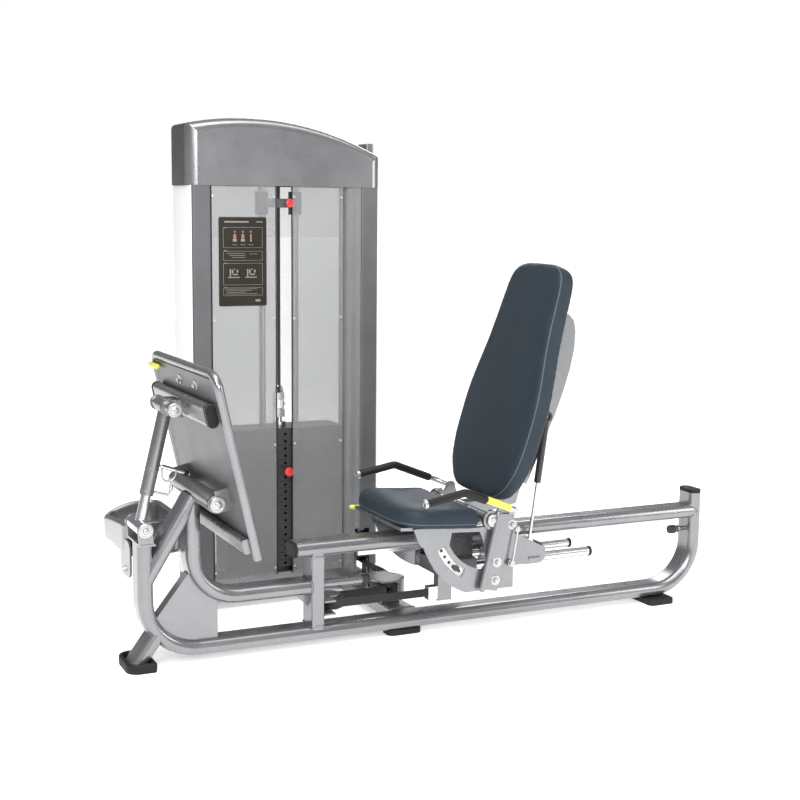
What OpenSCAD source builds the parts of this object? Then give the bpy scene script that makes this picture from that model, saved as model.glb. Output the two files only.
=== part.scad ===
// Seated leg press with a selectorised weight stack, in millimetres.
// X runs along the seat rail, away from the foot plate. Y runs away from the user's open side, towards
// the weight tower. Z is up, and the floor is z = 0. Inside the modules, X = 0 is the centre of the left
// upright and Y = 0 is the middle plane of the rail; placed() moves the whole to its origin.

/* [Frame tube] */
// Thickness of the flat-oval tube
tube_t = 43; // [40:1:46]
// Width of the flat-oval tube
tube_w = 86; // [80:1:92]
// Wall of the frame tubes
tube_wall = 3; // [2:0.5:4]
// Centre radius of the base tube's two bends
base_bend_r = 150; // [140:1:160]
// Height of the base tube's centre over the floor
base_z = 40.5; // [38:0.5:44]
// Distance between the two uprights
upright_gap = 1838; // [1800:2:1900]
// Height of the seat rail's centre
rail_z = 290; // [286:1:294]
// Start of the seat rail
rail_x = 441; // [430:1:460]

/* [Foot plate] */
// Tilt of the foot plate from upright, in degrees
foot_tilt = 12.65; // [11:0.05:14]
// Half width to the centre of the side tubes
foot_half_w = 300; // [280:1:320]
// Length of the side tubes
foot_len = 502; // [480:1:520]
// Outer radius of the foot-plate frame tube
foot_tube_r = 12; // [10:0.5:13]

/* [Tower] */
// Front plane of the tower
tower_y = 431; // [425:1:440]
// Depth of the tower
tower_d = 193; // [180:1:210]
// Number of plates in the stack
plate_count = 19; // [12:1:19]
// Pitch of the plates
plate_pitch = 23.4; // [22:0.1:23.4]
// Number of plates the selector pin picks up
picked_plates = 6; // [1:1:11]
// Width of a plate
plate_w = 390; // [360:2:400]
// Depth of a plate
plate_d = 120; // [100:2:124]

/* [Seat] */
// Recline of the back pad, in degrees
recline = 17.3; // [15:0.1:20]
// Tilt of the seat pad, in degrees
seat_tilt = 4; // [2:0.5:5]
// Thickness of both pads
pad_t = 57; // [50:1:60]
// Half width of the seat pad
seat_half_w = 200; // [180:1:205]
// Distance from the middle plane to each side plate
plate_y = 166; // [160:1:170]

/* [Hidden] */
$fn = 48;

// Colours
silver = [0.66, 0.67, 0.69];
dark_grey = [0.42, 0.43, 0.44];
black = [0.07, 0.07, 0.08];
chrome = [0.86, 0.87, 0.88];
frosted = [0.82, 0.83, 0.84];
yellow = [0.86, 0.86, 0.30];
red = [0.80, 0.12, 0.12];
slate = [0.26, 0.30, 0.34];

// The origin lies on the floor under the middle of the whole machine, from the shoe to the right upright
// and from the foot plate's near side tube to the tower's back
shoe_x = -62;
origin_shift = [
    -(shoe_x + upright_gap + tube_t / 2) / 2,
    -(tower_y + tower_d - foot_half_w - foot_tube_r) / 2,
    0];

// Frame
rail_half_t = tube_t / 2;
rail_top = rail_z + rail_half_t;
rail_bottom = rail_z - rail_half_t;
upright_top = 353;
right_upright_top = 351;
bend_z = base_z + base_bend_r;
loop_x = 136;
loop_z = 178;
loop_bend_r = 130;
post_x = 505;
post_w = 40;
post_d = 80;
leg_angle = 54;
leg_foot_x = -33.3;
support_from = [0, 243.3];
support_to = [140, 472];
foot_h = 19;

// Foot plate: the top of its side tubes, its own pivot, and the strut's two pivots
foot_top = [121, 839];
foot_pivot = [154, 483];
strut_top = [72, 725];
strut_foot = [-8, 398];
barrel_r = 26;
barrel_half = 185;
pivot_pin_r = 12;
run_gap = 0.05;

// Tower
tower_x0 = 280;
tower_x1 = 895;
post_front_w = 60;
post_front_d = 45;
post_rear_d = 34;
tower_back = tower_y + tower_d;
post_bottom = 23;
cap_x0 = 269;
cap_x1 = 904;
cap_z = 1333;
cap_arc_r = 960;
cap_arc = [467, 577];
panel_z = 96;
panel_t = 4;
panel_y = tower_y + 2;

// Weight stack
stack_x = 583;
stack_y = 505;
rod_dx = 56;
rod_r = 11;
rod_clear = 0.6;
plate_gap = 1;
stack_z = 117.6;
base_plate_z = 96;
base_plate_t = 5;
stem_r = 10;
pin_r = 4.5;
stem_top = 599;
shackle_top = 678;
addon_z = 1244;
addon_h = 72;
top_plate_z = 1336;

// Belt and pulleys
belt_t = 3;
belt_w = 25;
belt_z = 112;
pulley_w = 32;
axle_r = 8;
left_pulley_r = 39;
left_pulley_c = [570, 40.5];
right_pulley_r = 50;
right_pulley_c = [796, 132.5];
lift_pulley_r = 45;
rise_x = right_pulley_c[0] + right_pulley_r + belt_t / 2;
lower_pulley_c = [stack_y - lift_pulley_r - belt_t / 2, belt_z + lift_pulley_r + belt_t / 2];
top_pulley_z = 1400;
drop_pulley_x = stack_x + lift_pulley_r + belt_t / 2;
rise_pulley_x = rise_x - lift_pulley_r - belt_t / 2;

// Carriage
recline_pivot = [994, 364];
recline_shaft_r = 16;
arm_y = 178;
arm_t = 6;
push_rod_r = 14;
push_rod_y = 60;
push_rod_z = 204;
handle_y = 240;
handle_r = 9;
grip_r = 12;
handle_tip = [743, 442];
handle_bend = [872, 466];
handle_root = [1036, 400];
gas_y = -60;
gas_foot = [1191, 254];
gas_top = [1245, 640];
shell_half_w = 45;
roller_r = 12;
roller_z = rail_top + roller_r + 0.4;

// ---- Shapes used by many parts ----

module placed() { translate(origin_shift) children(); }

// Flat oval: thickness along x, width along y
module oval(t = tube_t, w = tube_w) {
    square([t, w - t], center = true);
    for (s = [-1, 1]) translate([0, s * (w - t) / 2]) circle(d = t);
}

module oval_ring(t = tube_t, w = tube_w, wall = tube_wall) {
    if (wall > 0) {
        difference() {
            oval(t, w);
            oval(t - 2 * wall, w - 2 * wall);
        }
    } else {
        oval(t, w);
    }
}

// Rectangle with true round corners
module round_rect(w, d, r) {
    square([w - 2 * r, d], center = true);
    square([w, d - 2 * r], center = true);
    for (sx = [-1, 1], sy = [-1, 1]) translate([sx * (w / 2 - r), sy * (d / 2 - r)]) circle(r);
}

// Straight flat-oval run in the XZ plane from a point, leaning by an angle from +Z towards +X
module run(from, lean, len, wall = tube_wall, w = tube_w) {
    translate([from[0], 0, from[1]]) rotate([0, lean, 0]) linear_extrude(len) oval_ring(w = w, wall = wall);
}

// Bend in the XZ plane, angles counted from +X towards +Z
module bend(centre, r, from, to, wall = tube_wall, w = tube_w) {
    translate([centre[0], 0, centre[1]]) rotate([90, 0, 0]) rotate([0, 0, from])
        rotate_extrude(angle = to - from, $fn = 96) translate([r, 0]) oval_ring(w = w, wall = wall);
}

// Round rod between two points
module rod(a, b, r) {
    v = b - a;
    len = norm(v);
    translate(a) rotate([0, acos(v[2] / len), atan2(v[1], v[0])]) cylinder(h = len, r = r);
}

// Cylinder along Y through [x, z], from y0 to y1
module pin_y(at, r, y0, y1) {
    translate([at[0], y0, at[1]]) rotate([-90, 0, 0]) cylinder(h = y1 - y0, r = r);
}

// Flat plate with an outline in XZ, from y0 to y1
module plate_xz(y0, y1) {
    translate([0, y1, 0]) rotate([90, 0, 0]) linear_extrude(y1 - y0) children();
}

// Box given by its two corners
module block(a, b) { translate(a) cube(b - a); }

// Flanged belt pulley on Z with a bore for its axle
module pulley(r, w = pulley_w) {
    rim = 4;
    difference() {
        union() {
            cylinder(h = w, r = r - 0.3, center = true);
            for (s = [-1, 1]) translate([0, 0, s * (w / 2 - 1.25)])
                cylinder(h = 2.5, r = r + rim, center = true);
        }
        cylinder(h = w + 1, r = axle_r + run_gap, center = true);
    }
}

// Local frame of the foot plate: z up along the side tubes from their top, x towards the user
module on_foot() { translate([foot_top[0], 0, foot_top[1]]) rotate([0, -foot_tilt, 0]) children(); }

// Local frame of the backrest: z up along the pad from the recline pivot, x towards the back
module on_back() { translate([recline_pivot[0], 0, recline_pivot[1]]) rotate([0, recline, 0]) children(); }

// Local frame of the seat pad: z up from the middle of its front edge, x towards the back
module on_seat() { translate([700, 0, 362.5]) rotate([0, seat_tilt, 0]) children(); }

// Local frame of the strut: z from its foot to its top
strut_v = strut_top - strut_foot;
strut_len = norm(strut_v);
module on_strut()
    { translate([strut_foot[0], 0, strut_foot[1]]) rotate([0, atan2(strut_v[0], strut_v[1]), 0])
        children(); }

// Local frame of the gas spring: z from its foot to its top
gas_v = gas_top - gas_foot;
gas_len = norm(gas_v);
module on_gas() { translate([gas_foot[0], gas_y, gas_foot[1]]) rotate([0, atan2(gas_v[0], gas_v[1]), 0])
    children(); }

// ---- Frame ----

// Width of the solid tubes that cope the ends of tubes of the same width
cope_w = tube_w + 0.6;

module base_path(wall = tube_wall, w = tube_w) {
    run([0, bend_z], 0, upright_top - bend_z, wall, w);
    bend([base_bend_r, bend_z], base_bend_r, 180, 270, wall, w);
    run([base_bend_r, base_z], 90, upright_gap - 2 * base_bend_r, wall, w);
    bend([upright_gap - base_bend_r, bend_z], base_bend_r, 270, 360, wall, w);
    run([upright_gap, bend_z], 0, right_upright_top - bend_z, wall, w);
}

module base_tube() { placed() color(silver) base_path(); }

module seat_rail() {
    placed() color(silver) difference() {
        run([rail_x, rail_z], 90, upright_gap - rail_x);
        run([upright_gap, 200], 0, 180, 0, cope_w);
    }
}

module loop_path(wall = tube_wall) {
    run([loop_x, loop_z + loop_bend_r], 0, 165, wall);
    bend([loop_x + loop_bend_r, loop_z + loop_bend_r], loop_bend_r, 180, 270, wall);
    run([loop_x + loop_bend_r, loop_z], 90, post_x - post_w / 2 - loop_x - loop_bend_r, wall);
}

// Local frame of the support tube: z along it, from the left upright to the pivot barrel
support_v = support_to - support_from;
module on_support() {
    translate([support_from[0], 0, support_from[1]]) rotate([0, atan2(support_v[0], support_v[1]), 0])
        children();
}

module support_run() { on_support() linear_extrude(norm(support_v)) oval_ring(); }

module loop_tube() {
    placed() color(silver) difference() {
        loop_path();
        on_support() linear_extrude(400) oval(w = cope_w);
        pin_y(foot_pivot, barrel_r + 0.2, -60, 60);
        on_support() block([-120, -60, 0], [0, 60, 400]);
    }
}

module rail_post() {
    placed() color(silver) difference() {
        translate([post_x, 0, base_z]) linear_extrude(rail_z - base_z) difference() {
            round_rect(post_w, post_d, 8);
            round_rect(post_w - 2 * tube_wall, post_d - 2 * tube_wall, 5);
        }
        run([post_x - 60, base_z], 90, 120, 0);
        run([post_x - 60, rail_z], 90, 120, 0);
    }
}

module gussets() {
    gusset_half = 20;
    placed() color(silver) {
        difference() {
            plate_xz(-gusset_half, gusset_half) polygon([
                [121, 252], [143, 263], [174, 216], [207, 192], [207, base_z], [150, base_z],
                [99, 49.5], [44, 84.4], [16, 117]]);
            base_path(0);
            loop_path(0);
        }
        plate_xz(-4, 4) polygon([[440, loop_z - rail_half_t], [485, loop_z - rail_half_t], [485, 116]]);
    }
}

module front_leg() {
    placed() color(silver) {
        difference() {
            run([leg_foot_x - 12, -16.5], 90 - leg_angle, 140);
            base_path(0, cope_w);
            pin_y([base_bend_r, bend_z], base_bend_r, -50, 50);
            block([-150, -100, -60], [150, 100, 8]);
        }
        block([-50, -48, 2], [8, 48, 8]);
    }
}

module pivot_support() {
    placed() color(silver) difference() {
        union() {
            difference() {
                support_run();
                run([0, 200], 0, 180, 0, cope_w);
            }
            pin_y(foot_pivot, barrel_r, -barrel_half, barrel_half);
        }
        pin_y(foot_pivot, pivot_pin_r + run_gap, -barrel_half - 1, barrel_half + 1);
    }
}

module strut_anchor() {
    ear_y = 61;
    placed() color(silver) {
        block([-24, -ear_y - 6, upright_top], [20, ear_y + 6, upright_top + 6]);
        for (s = [-1, 1]) plate_xz(s * ear_y - 3, s * ear_y + 3) union() {
            translate(strut_foot) circle(20);
            polygon([[-24, upright_top + 3], [16, upright_top + 3], [12, 398], [-28, 398]]);
        }
        pin_y(strut_foot, 8, -ear_y - 3, ear_y + 3);
        for (s = [-1, 1]) pin_y(strut_foot, 22, s * 67.5 - 3.5, s * 67.5 + 3.5);
        for (s = [-1, 1]) pin_y(strut_foot, 9, s * 74 - 3, s * 74 + 3);
    }
}

module tray() {
    placed() color(silver) {
        block([-8, tube_w / 2, 300], [30, 84, 340]);
        // Open tub whose rim slopes down to its outer back corner
        difference() {
            translate([61, 230, 288]) linear_extrude(102) round_rect(178, 298, 40);
            translate([61, 230, 293]) linear_extrude(110) round_rect(168, 288, 35);
            translate([-28, 379, 350]) rotate([-6.75, -28.07, 0]) block([-200, -400, 0], [300, 200, 200]);
        }
        // Bracket down the side of the upright
        difference() {
            plate_x(-21, 6) translate([98, 288]) round_rect(104, 104, 26);
            translate([-10, 98, 256]) rotate([0, -90, 0]) cylinder(h = 20, r = 5);
        }
    }
}

module cross_beam() {
    beam_x = 812;
    placed() color(silver) difference() {
        translate([beam_x, 0, base_z]) rotate([-90, 0, 0]) linear_extrude(tower_y) difference() {
            round_rect(80, 40, 6);
            round_rect(74, 34, 3);
        }
        run([beam_x - 80, base_z], 90, 160, 0);
    }
}

module guide_strip() {
    placed() color(chrome) block([642, -7, 252], [1766, 7, rail_bottom]);
}

module travel_stops() {
    stop_z = 177;
    bumper_z = 228;
    placed() {
        color(silver) rod([post_x + post_w / 2, 0, stop_z], [655, 0, stop_z], 14);
        color(black) rod([655, 0, stop_z], [680, 0, stop_z], 15);
        color(chrome) rod([1780, 0, bumper_z], [upright_gap - rail_half_t, 0, bumper_z], 7);
        color(black) rod([1757, 0, bumper_z], [1780, 0, bumper_z], 14);
    }
}

module end_caps() {
    placed() color(black) {
        run([rail_x - 9, rail_z], 90, 9, 0);
        run([upright_gap, right_upright_top], 0, 12, 0);
    }
}

module rubber_feet() {
    placed() color(black) {
        difference() {
            block([shoe_x, -72, 0], [20, 72, 28]);
            block([-56, -50, 2], [40, 50, 30]);
        }
        // Middle and right feet: position along the tube, length, width
        for (foot = [[790, 110, 60], [1690, 96, 150]]) translate([foot[0], 0, 0])
            linear_extrude(foot_h) round_rect(foot[1], foot[2], 20);
        for (x = [tower_x0 + 30, tower_x1 - 30], y = [tower_y + 23, tower_back - 22])
            translate([x, y, 0]) cylinder(h = post_bottom, r = 22);
    }
}

module pulley_brackets() {
    gap = pulley_w / 2 + 1;
    plate = 5;
    sill_z = 62;
    cover_r = 58;
    // Left pulley: two plates welded to the rail post, and the axle between them
    placed() color(silver) {
        for (z = [belt_z - gap - plate, belt_z + gap]) translate([0, 0, z]) linear_extrude(plate) union() {
            translate(left_pulley_c) circle(32);
            translate([post_x + post_w / 2, -38]) square([35, 76]);
        }
        translate([left_pulley_c[0], left_pulley_c[1], belt_z - gap - 1])
            cylinder(h = 2 * gap + 2, r = axle_r);
        // Right pulley: a folded stand on the cross beam
        for (floor_r = [[belt_z - gap - plate, 48], [belt_z + gap + 3, cover_r]])
            translate([0, 0, floor_r[0]]) linear_extrude(plate) union() {
                translate(right_pulley_c) circle(floor_r[1]);
                translate([760, right_pulley_c[1]]) square([72, 70]);
            }
        // Curved skirt under its top, round the outside of the belt
        translate([right_pulley_c[0], right_pulley_c[1], belt_z - gap]) rotate([0, 0, -75])
            rotate_extrude(angle = 75) translate([cover_r - 3.5, 0]) square([3.5, 2 * gap + 4]);
        translate([right_pulley_c[0], right_pulley_c[1], belt_z - gap - 1])
            cylinder(h = 2 * gap + 5, r = axle_r);
        block([760, 192, base_z + 20], [832, 202, belt_z + gap + 8]);
        block([772, 110, base_z + 20], [832, 156, belt_z - gap - plate]);
        // Lower pulley: two cheeks on the tower's front sill
        for (s = [-1, 1]) plate_x(rise_x + s * 20.5, 5) union() {
            translate(lower_pulley_c) circle(20);
            translate([lower_pulley_c[0] - 20, sill_z]) square([40, lower_pulley_c[1] - sill_z]);
        }
        block([rise_x - 24.5, lower_pulley_c[0] - 20, sill_z],
            [rise_x + 23, lower_pulley_c[0] + 20, sill_z + plate]);
        translate([rise_x - 20, lower_pulley_c[0], lower_pulley_c[1]]) rotate([0, 90, 0])
            cylinder(h = 40, r = axle_r);
    }
}

// Flat plate with an outline in YZ, centred on x
module plate_x(x, t) {
    translate([x - t / 2, 0, 0]) rotate([90, 0, 90]) linear_extrude(t) children();
}

// ---- Tower ----

module hollow_post(x, y, w, d, z0, z1) {
    translate([x, y, z0]) linear_extrude(z1 - z0) difference() {
        translate([w / 2, d / 2]) round_rect(w, d, 7);
        translate([w / 2, d / 2]) round_rect(w - 6, d - 6, 4);
    }
}

module tower_posts() {
    window_x = 871;
    placed() color(dark_grey) {
        for (y = [[tower_y, post_front_d], [tower_back - post_rear_d, post_rear_d]])
            hollow_post(tower_x0, y[0], post_front_w, y[1], post_bottom, cap_z - 1);
        difference() {
            hollow_post(tower_x1 - post_front_w + 2, tower_y, post_front_w - 2, post_front_d, post_bottom,
                cap_z - 1);
            block([820, tower_y - 10, 62], [window_x, tower_y + post_front_d + 10, 222]);
        }
        hollow_post(tower_x1 - post_front_w + 2, tower_back - post_rear_d, post_front_w - 2, post_rear_d,
            post_bottom, cap_z - 1);
    }
}

// Box tube along x or y, open at both ends, given by its two corners
module box_tube(a, b, along) {
    inset = [for (i = [0 : 2]) i == along ? -1 : tube_wall];
    difference() {
        block(a, b);
        block(a + inset, b - inset);
    }
}

module tower_base() {
    left = tower_x0 + post_front_w;
    right = tower_x1 - post_front_w + 2;
    placed() color(silver) {
        box_tube([left, tower_y + 9, post_bottom], [right - 14, tower_y + 39, base_plate_z], 0);
        box_tube([left, tower_back - 32, post_bottom], [right, tower_back - 2, base_plate_z], 0);
        block([left, tower_y + 9, base_plate_z], [right - 61, tower_back - 6, base_plate_z + base_plate_t]);
        for (x = [tower_x0 + 10, tower_x1 - 48])
            box_tube([x, tower_y + post_front_d, post_bottom], [x + 36, tower_back - post_rear_d, 60], 1);
    }
}

module cap_outline(inset) {
    intersection() {
        translate([cap_x0 + inset, cap_z - 1]) square([cap_x1 - cap_x0 - 2 * inset, 220]);
        translate(cap_arc) circle(cap_arc_r - inset, $fn = 200);
    }
}

module tower_cap() {
    wall = 4;
    placed() {
        color(silver) difference() {
            plate_xz(tower_y - 1, tower_back) cap_outline(0);
            plate_xz(tower_y - 1 + wall, tower_back - wall) cap_outline(wall);
            block([cap_x0 + wall, tower_y - 1 + wall, cap_z - 5],
                [cap_x1 - wall, tower_back - wall, cap_z + 1]);
        }
        color(dark_grey) block([cap_x1, 545, cap_z], [929, 618, 1477]);
    }
}

module front_panels() {
    slot_l = 549;
    slot_r = 603;
    curve_x = 775;
    curve_end = tower_x1 - post_front_w + 2;
    placed() {
        color(frosted) {
            block([tower_x0 + post_front_w, panel_y, panel_z], [slot_l, panel_y + panel_t, cap_z - 1]);
            block([slot_r, panel_y, panel_z], [curve_x, panel_y + panel_t, cap_z - 1]);
        }
        color(silver) difference() {
            translate([curve_x + 4, panel_y + 30, panel_z]) linear_extrude(cap_z - 1 - panel_z)
                difference() {
                union() {
                    translate([28, -2]) circle(28);
                    translate([28, -30]) square([curve_end - curve_x - 32, 28]);
                }
                union() {
                    translate([28, -2]) circle(25);
                    translate([28, -27]) square([curve_end - curve_x - 31, 40]);
                    translate([-1, -2]) square([80, 40]);
                }
            }
            block([819, tower_y, 62], [curve_end + 1, tower_y + 60, 222]);
        }
    }
}

module tower_panels() {
    placed() color(frosted) {
        for (x = [tower_x0 + 3, tower_x1 - 3 - panel_t])
            block([x, tower_y + post_front_d, panel_z], [x + panel_t, tower_back - post_rear_d, cap_z - 1]);
        block([tower_x0 + post_front_w, tower_back - 6, panel_z],
            [tower_x1 - post_front_w + 2, tower_back - 6 + panel_t, cap_z - 1]);
    }
}

module placard() {
    placed() color(black) block([363, panel_y - 3, 963], [517, panel_y, 1236]);
}

module guide_rods() {
    z0 = base_plate_z + base_plate_t;
    placed() color(chrome) for (s = [-1, 1])
        translate([stack_x + s * rod_dx, stack_y, z0]) cylinder(h = top_plate_z - z0, r = rod_r);
}

module top_frame() {
    cheek_y = pulley_w / 2 + 1;
    placed() color(silver) difference() {
        union() {
            block([tower_x0 + 14, tower_y + 14, top_plate_z],
                [tower_x1 - 12, tower_back - 12, top_plate_z + 6]);
            for (s = [-1, 1]) plate_xz(stack_y + s * (cheek_y + 2.5) - 2.5, stack_y + s * (cheek_y + 2.5)
                + 2.5)
                translate([drop_pulley_x - 20, top_plate_z + 5])
                    square([rise_pulley_x - drop_pulley_x + 40, 75]);
            for (x = [drop_pulley_x, rise_pulley_x])
                pin_y([x, top_pulley_z], axle_r, stack_y - cheek_y - 1, stack_y + cheek_y + 1);
        }
        for (x = [stack_x, rise_x])
            block([x - 10, stack_y - 18, top_plate_z - 5], [x + 10, stack_y + 18, top_plate_z + 12]);
        for (x = [drop_pulley_x, rise_pulley_x])
            block([x - 52, stack_y - cheek_y, top_plate_z - 5],
                [x + 52, stack_y + cheek_y, top_plate_z + 15]);
    }
}

module rest_cushions() {
    z0 = base_plate_z + base_plate_t;
    placed() color(black) for (s = [-1, 1]) translate([stack_x + s * rod_dx, stack_y, z0]) difference() {
        cylinder(h = stack_z - z0, r = 24);
        translate([0, 0, -1]) cylinder(h = 30, r = rod_r + rod_clear);
    }
}

// One plate of the stack, counted from the bottom
module stack_plate(i) {
    z0 = stack_z + i * plate_pitch;
    h = plate_pitch - plate_gap;
    top = i == plate_count - 1 ? 8 : 0;
    difference() {
        block([stack_x - plate_w / 2, stack_y - plate_d / 2, z0],
            [stack_x + plate_w / 2, stack_y + plate_d / 2, z0 + h + top]);
        for (s = [-1, 1]) translate([stack_x + s * rod_dx, stack_y, z0 - 1])
            cylinder(h = h + top + 2, r = rod_r + rod_clear);
        translate([stack_x, stack_y, z0 - 1]) cylinder(h = h + top + 2, r = stem_r + 0.6);
        pin_y([stack_x, z0 + h / 2], pin_r + 0.5, stack_y - plate_d / 2 - 1, stack_y);
    }
}

first_picked = plate_count - picked_plates;
pin_z = stack_z + first_picked * plate_pitch + (plate_pitch - plate_gap) / 2;

module resting_plates() { placed() color(black) for (i = [0 : first_picked - 1]) stack_plate(i); }

module selected_plates() { placed() color(black) for (i = [first_picked : plate_count - 1])
    stack_plate(i); }

module selector_stem() {
    collar_z = stack_z + plate_count * plate_pitch - plate_gap + 8;
    placed() color(chrome) {
        difference() {
            translate([stack_x, stack_y, stack_z + 2]) cylinder(h = stem_top - stack_z, r = stem_r);
            for (i = [0 : plate_count - 1])
                pin_y([stack_x, stack_z + i * plate_pitch + (plate_pitch - plate_gap) / 2], pin_r + 0.5,
                    stack_y - 20, stack_y + 20);
        }
        translate([stack_x, stack_y, collar_z]) cylinder(h = 14, r = 22);
        block([stack_x - 15, stack_y - 14, stem_top], [stack_x + 15, stack_y + 14, stem_top + 24]);
        for (s = [-1, 1]) block([stack_x + s * 10.5 - 2.5, stack_y - 12, stem_top + 24],
            [stack_x + s * 10.5 + 2.5, stack_y + 12, stem_top + 56]);
        block([stack_x - 13, stack_y - 15, stem_top + 56], [stack_x + 13, stack_y + 15, shackle_top]);
    }
}

module selector_pin() {
    knob_y = tower_y - 13;
    placed() {
        color(chrome) pin_y([stack_x, pin_z], pin_r, knob_y, stack_y + 8);
        color(red) {
            pin_y([stack_x, pin_z], 14.5, knob_y - 12, knob_y);
            pin_y([stack_x, pin_z], 9, knob_y, knob_y + 12);
        }
    }
}

module addon_weight() {
    bar_z = addon_z + addon_h / 2;
    placed() color(dark_grey) difference() {
        union() {
            for (s = [-1, 1]) translate([stack_x + s * rod_dx, stack_y, addon_z])
                cylinder(h = addon_h, r = 21);
            block([stack_x - rod_dx, stack_y - 40, bar_z - 14],
                [stack_x + rod_dx, stack_y - 18, bar_z + 14]);
        }
        for (s = [-1, 1]) translate([stack_x + s * rod_dx, stack_y, addon_z - 1])
            cylinder(h = addon_h + 2, r = rod_r + rod_clear);
        pin_y([stack_x + 8, bar_z], pin_r + 0.4, stack_y - 60, stack_y - 10);
    }
}

module addon_pin() {
    at = [stack_x + 8, addon_z + addon_h / 2];
    placed() {
        color(chrome) pin_y(at, pin_r, tower_y, stack_y - 21);
        color(red) pin_y(at, 13, tower_y - 14, tower_y);
    }
}

// ---- Belt ----

module belt_runs() {
    z0 = belt_z - belt_w / 2;
    far_y = left_pulley_c[1] + left_pulley_r + belt_t / 2;
    strand_y = [far_y - belt_t / 2, far_y + belt_t / 2];
    placed() color(black) {
        // Round the left pulley
        translate([left_pulley_c[0], left_pulley_c[1], z0]) rotate([0, 0, 90])
            rotate_extrude(angle = 180) translate([left_pulley_r, 0]) square([belt_t, belt_w]);
        // Far strand, right to the right pulley
        block([left_pulley_c[0], strand_y[0], z0], [right_pulley_c[0], strand_y[1], z0 + belt_w]);
        translate([right_pulley_c[0], right_pulley_c[1], z0]) rotate([0, 0, -90])
            rotate_extrude(angle = 90) translate([right_pulley_r, 0]) square([belt_t, belt_w]);
        // On edge to the tower, then flat under the lower pulley
        block([rise_x - belt_t / 2, right_pulley_c[1], z0], [rise_x + belt_t / 2, 300, z0 + belt_w]);
        block([rise_x - belt_w / 2, 300, belt_z - belt_t / 2],
            [rise_x + belt_w / 2, lower_pulley_c[0], belt_z + belt_t / 2]);
        translate([rise_x - belt_w / 2, lower_pulley_c[0], lower_pulley_c[1]]) rotate([90, 0, 90])
            rotate([0, 0, -90]) rotate_extrude(angle = 90) translate([lift_pulley_r, 0])
                square([belt_t, belt_w]);
        // Up to the two top pulleys and across
        block([rise_x - belt_w / 2, stack_y - belt_t / 2, lower_pulley_c[1]],
            [rise_x + belt_w / 2, stack_y + belt_t / 2, 760]);
        block([rise_x - belt_t / 2, stack_y - belt_w / 2, 760],
            [rise_x + belt_t / 2, stack_y + belt_w / 2, top_pulley_z]);
        for (p = [[rise_pulley_x, 0], [drop_pulley_x, 90]])
            translate([p[0], stack_y + belt_w / 2, top_pulley_z]) rotate([90, 0, 0]) rotate([0, 0, p[1]])
                rotate_extrude(angle = 90) translate([lift_pulley_r, 0]) square([belt_t, belt_w]);
        block([drop_pulley_x, stack_y - belt_w / 2, top_pulley_z + lift_pulley_r],
            [rise_pulley_x, stack_y + belt_w / 2, top_pulley_z + lift_pulley_r + belt_t]);
    }
}

module near_belt() {
    placed() color(black) block([left_pulley_c[0], -belt_t / 2, belt_z - belt_w / 2],
        [872, belt_t / 2, belt_z + belt_w / 2]);
}

module lift_belt() {
    placed() color(black) block([stack_x - belt_t / 2, stack_y - belt_w / 2, shackle_top],
        [stack_x + belt_t / 2, stack_y + belt_w / 2, top_pulley_z]);
}

module left_pulley() { placed() color(black) translate([left_pulley_c[0], left_pulley_c[1], belt_z])
    pulley(left_pulley_r); }

module right_pulley() { placed() color(black) translate([right_pulley_c[0], right_pulley_c[1], belt_z])
    pulley(right_pulley_r); }

module lower_pulley() {
    placed() color(black) translate([rise_x, lower_pulley_c[0], lower_pulley_c[1]]) rotate([0, 90, 0])
        pulley(lift_pulley_r);
}

module top_pulley(x) { placed() color(black) translate([x, stack_y, top_pulley_z]) rotate([90, 0, 0])
    pulley(lift_pulley_r); }

module rise_pulley() { top_pulley(rise_pulley_x); }

module drop_pulley() { top_pulley(drop_pulley_x); }

// ---- Shuttle ----

chassis_x0 = 870;
chassis_x1 = 1000;
roller_xs = [chassis_x0 + 20, chassis_x1 - 20];

module shuttle_chassis() {
    cheek = 46;
    placed() color(silver) difference() {
        union() {
            block([chassis_x0, -80, 184], [chassis_x1, 80, 226]);
            for (s = [-1, 1])
                block([chassis_x0, s * (cheek + 3) - 3, 226], [chassis_x1, s * (cheek + 3) + 3, 328]);
            for (x = roller_xs) pin_y([x, roller_z], 5, -cheek - 6, cheek + 6);
            for (x = roller_xs, s = [-1, 1]) pin_y([x, roller_z], 11, s * (cheek + 3) - 3, s * (cheek + 3)
                + 3);
            block([chassis_x0 + 10, -20, 226], [chassis_x1 - 10, 20, 250]);
            block([903, -15, 87], [949, 15, 184]);
        }
        for (s = [-1, 1])
            rod([chassis_x0 - 1, s * push_rod_y, push_rod_z],
                [chassis_x1 + 1, s * push_rod_y, push_rod_z], push_rod_r);
    }
}

module push_rods() {
    placed() for (s = [-1, 1]) {
        color(chrome) rod([chassis_x0, s * push_rod_y, push_rod_z], [1402, s * push_rod_y, push_rod_z],
            push_rod_r);
        color(black) rod([1402, s * push_rod_y, push_rod_z], [1413, s * push_rod_y, push_rod_z],
            push_rod_r + 1);
    }
}

module belt_clamp() {
    placed() color(chrome) block([872, -14, belt_z - 20], [903, 14, belt_z + 20]);
}

module roller(x) {
    placed() color(black) translate([x, 0, roller_z]) rotate([90, 0, 0]) difference() {
        cylinder(h = 60, r = roller_r, center = true);
        cylinder(h = 61, r = 5 + run_gap, center = true);
    }
}

module front_roller() { roller(roller_xs[0]); }

module rear_roller() { roller(roller_xs[1]); }

// ---- Carriage ----

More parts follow.
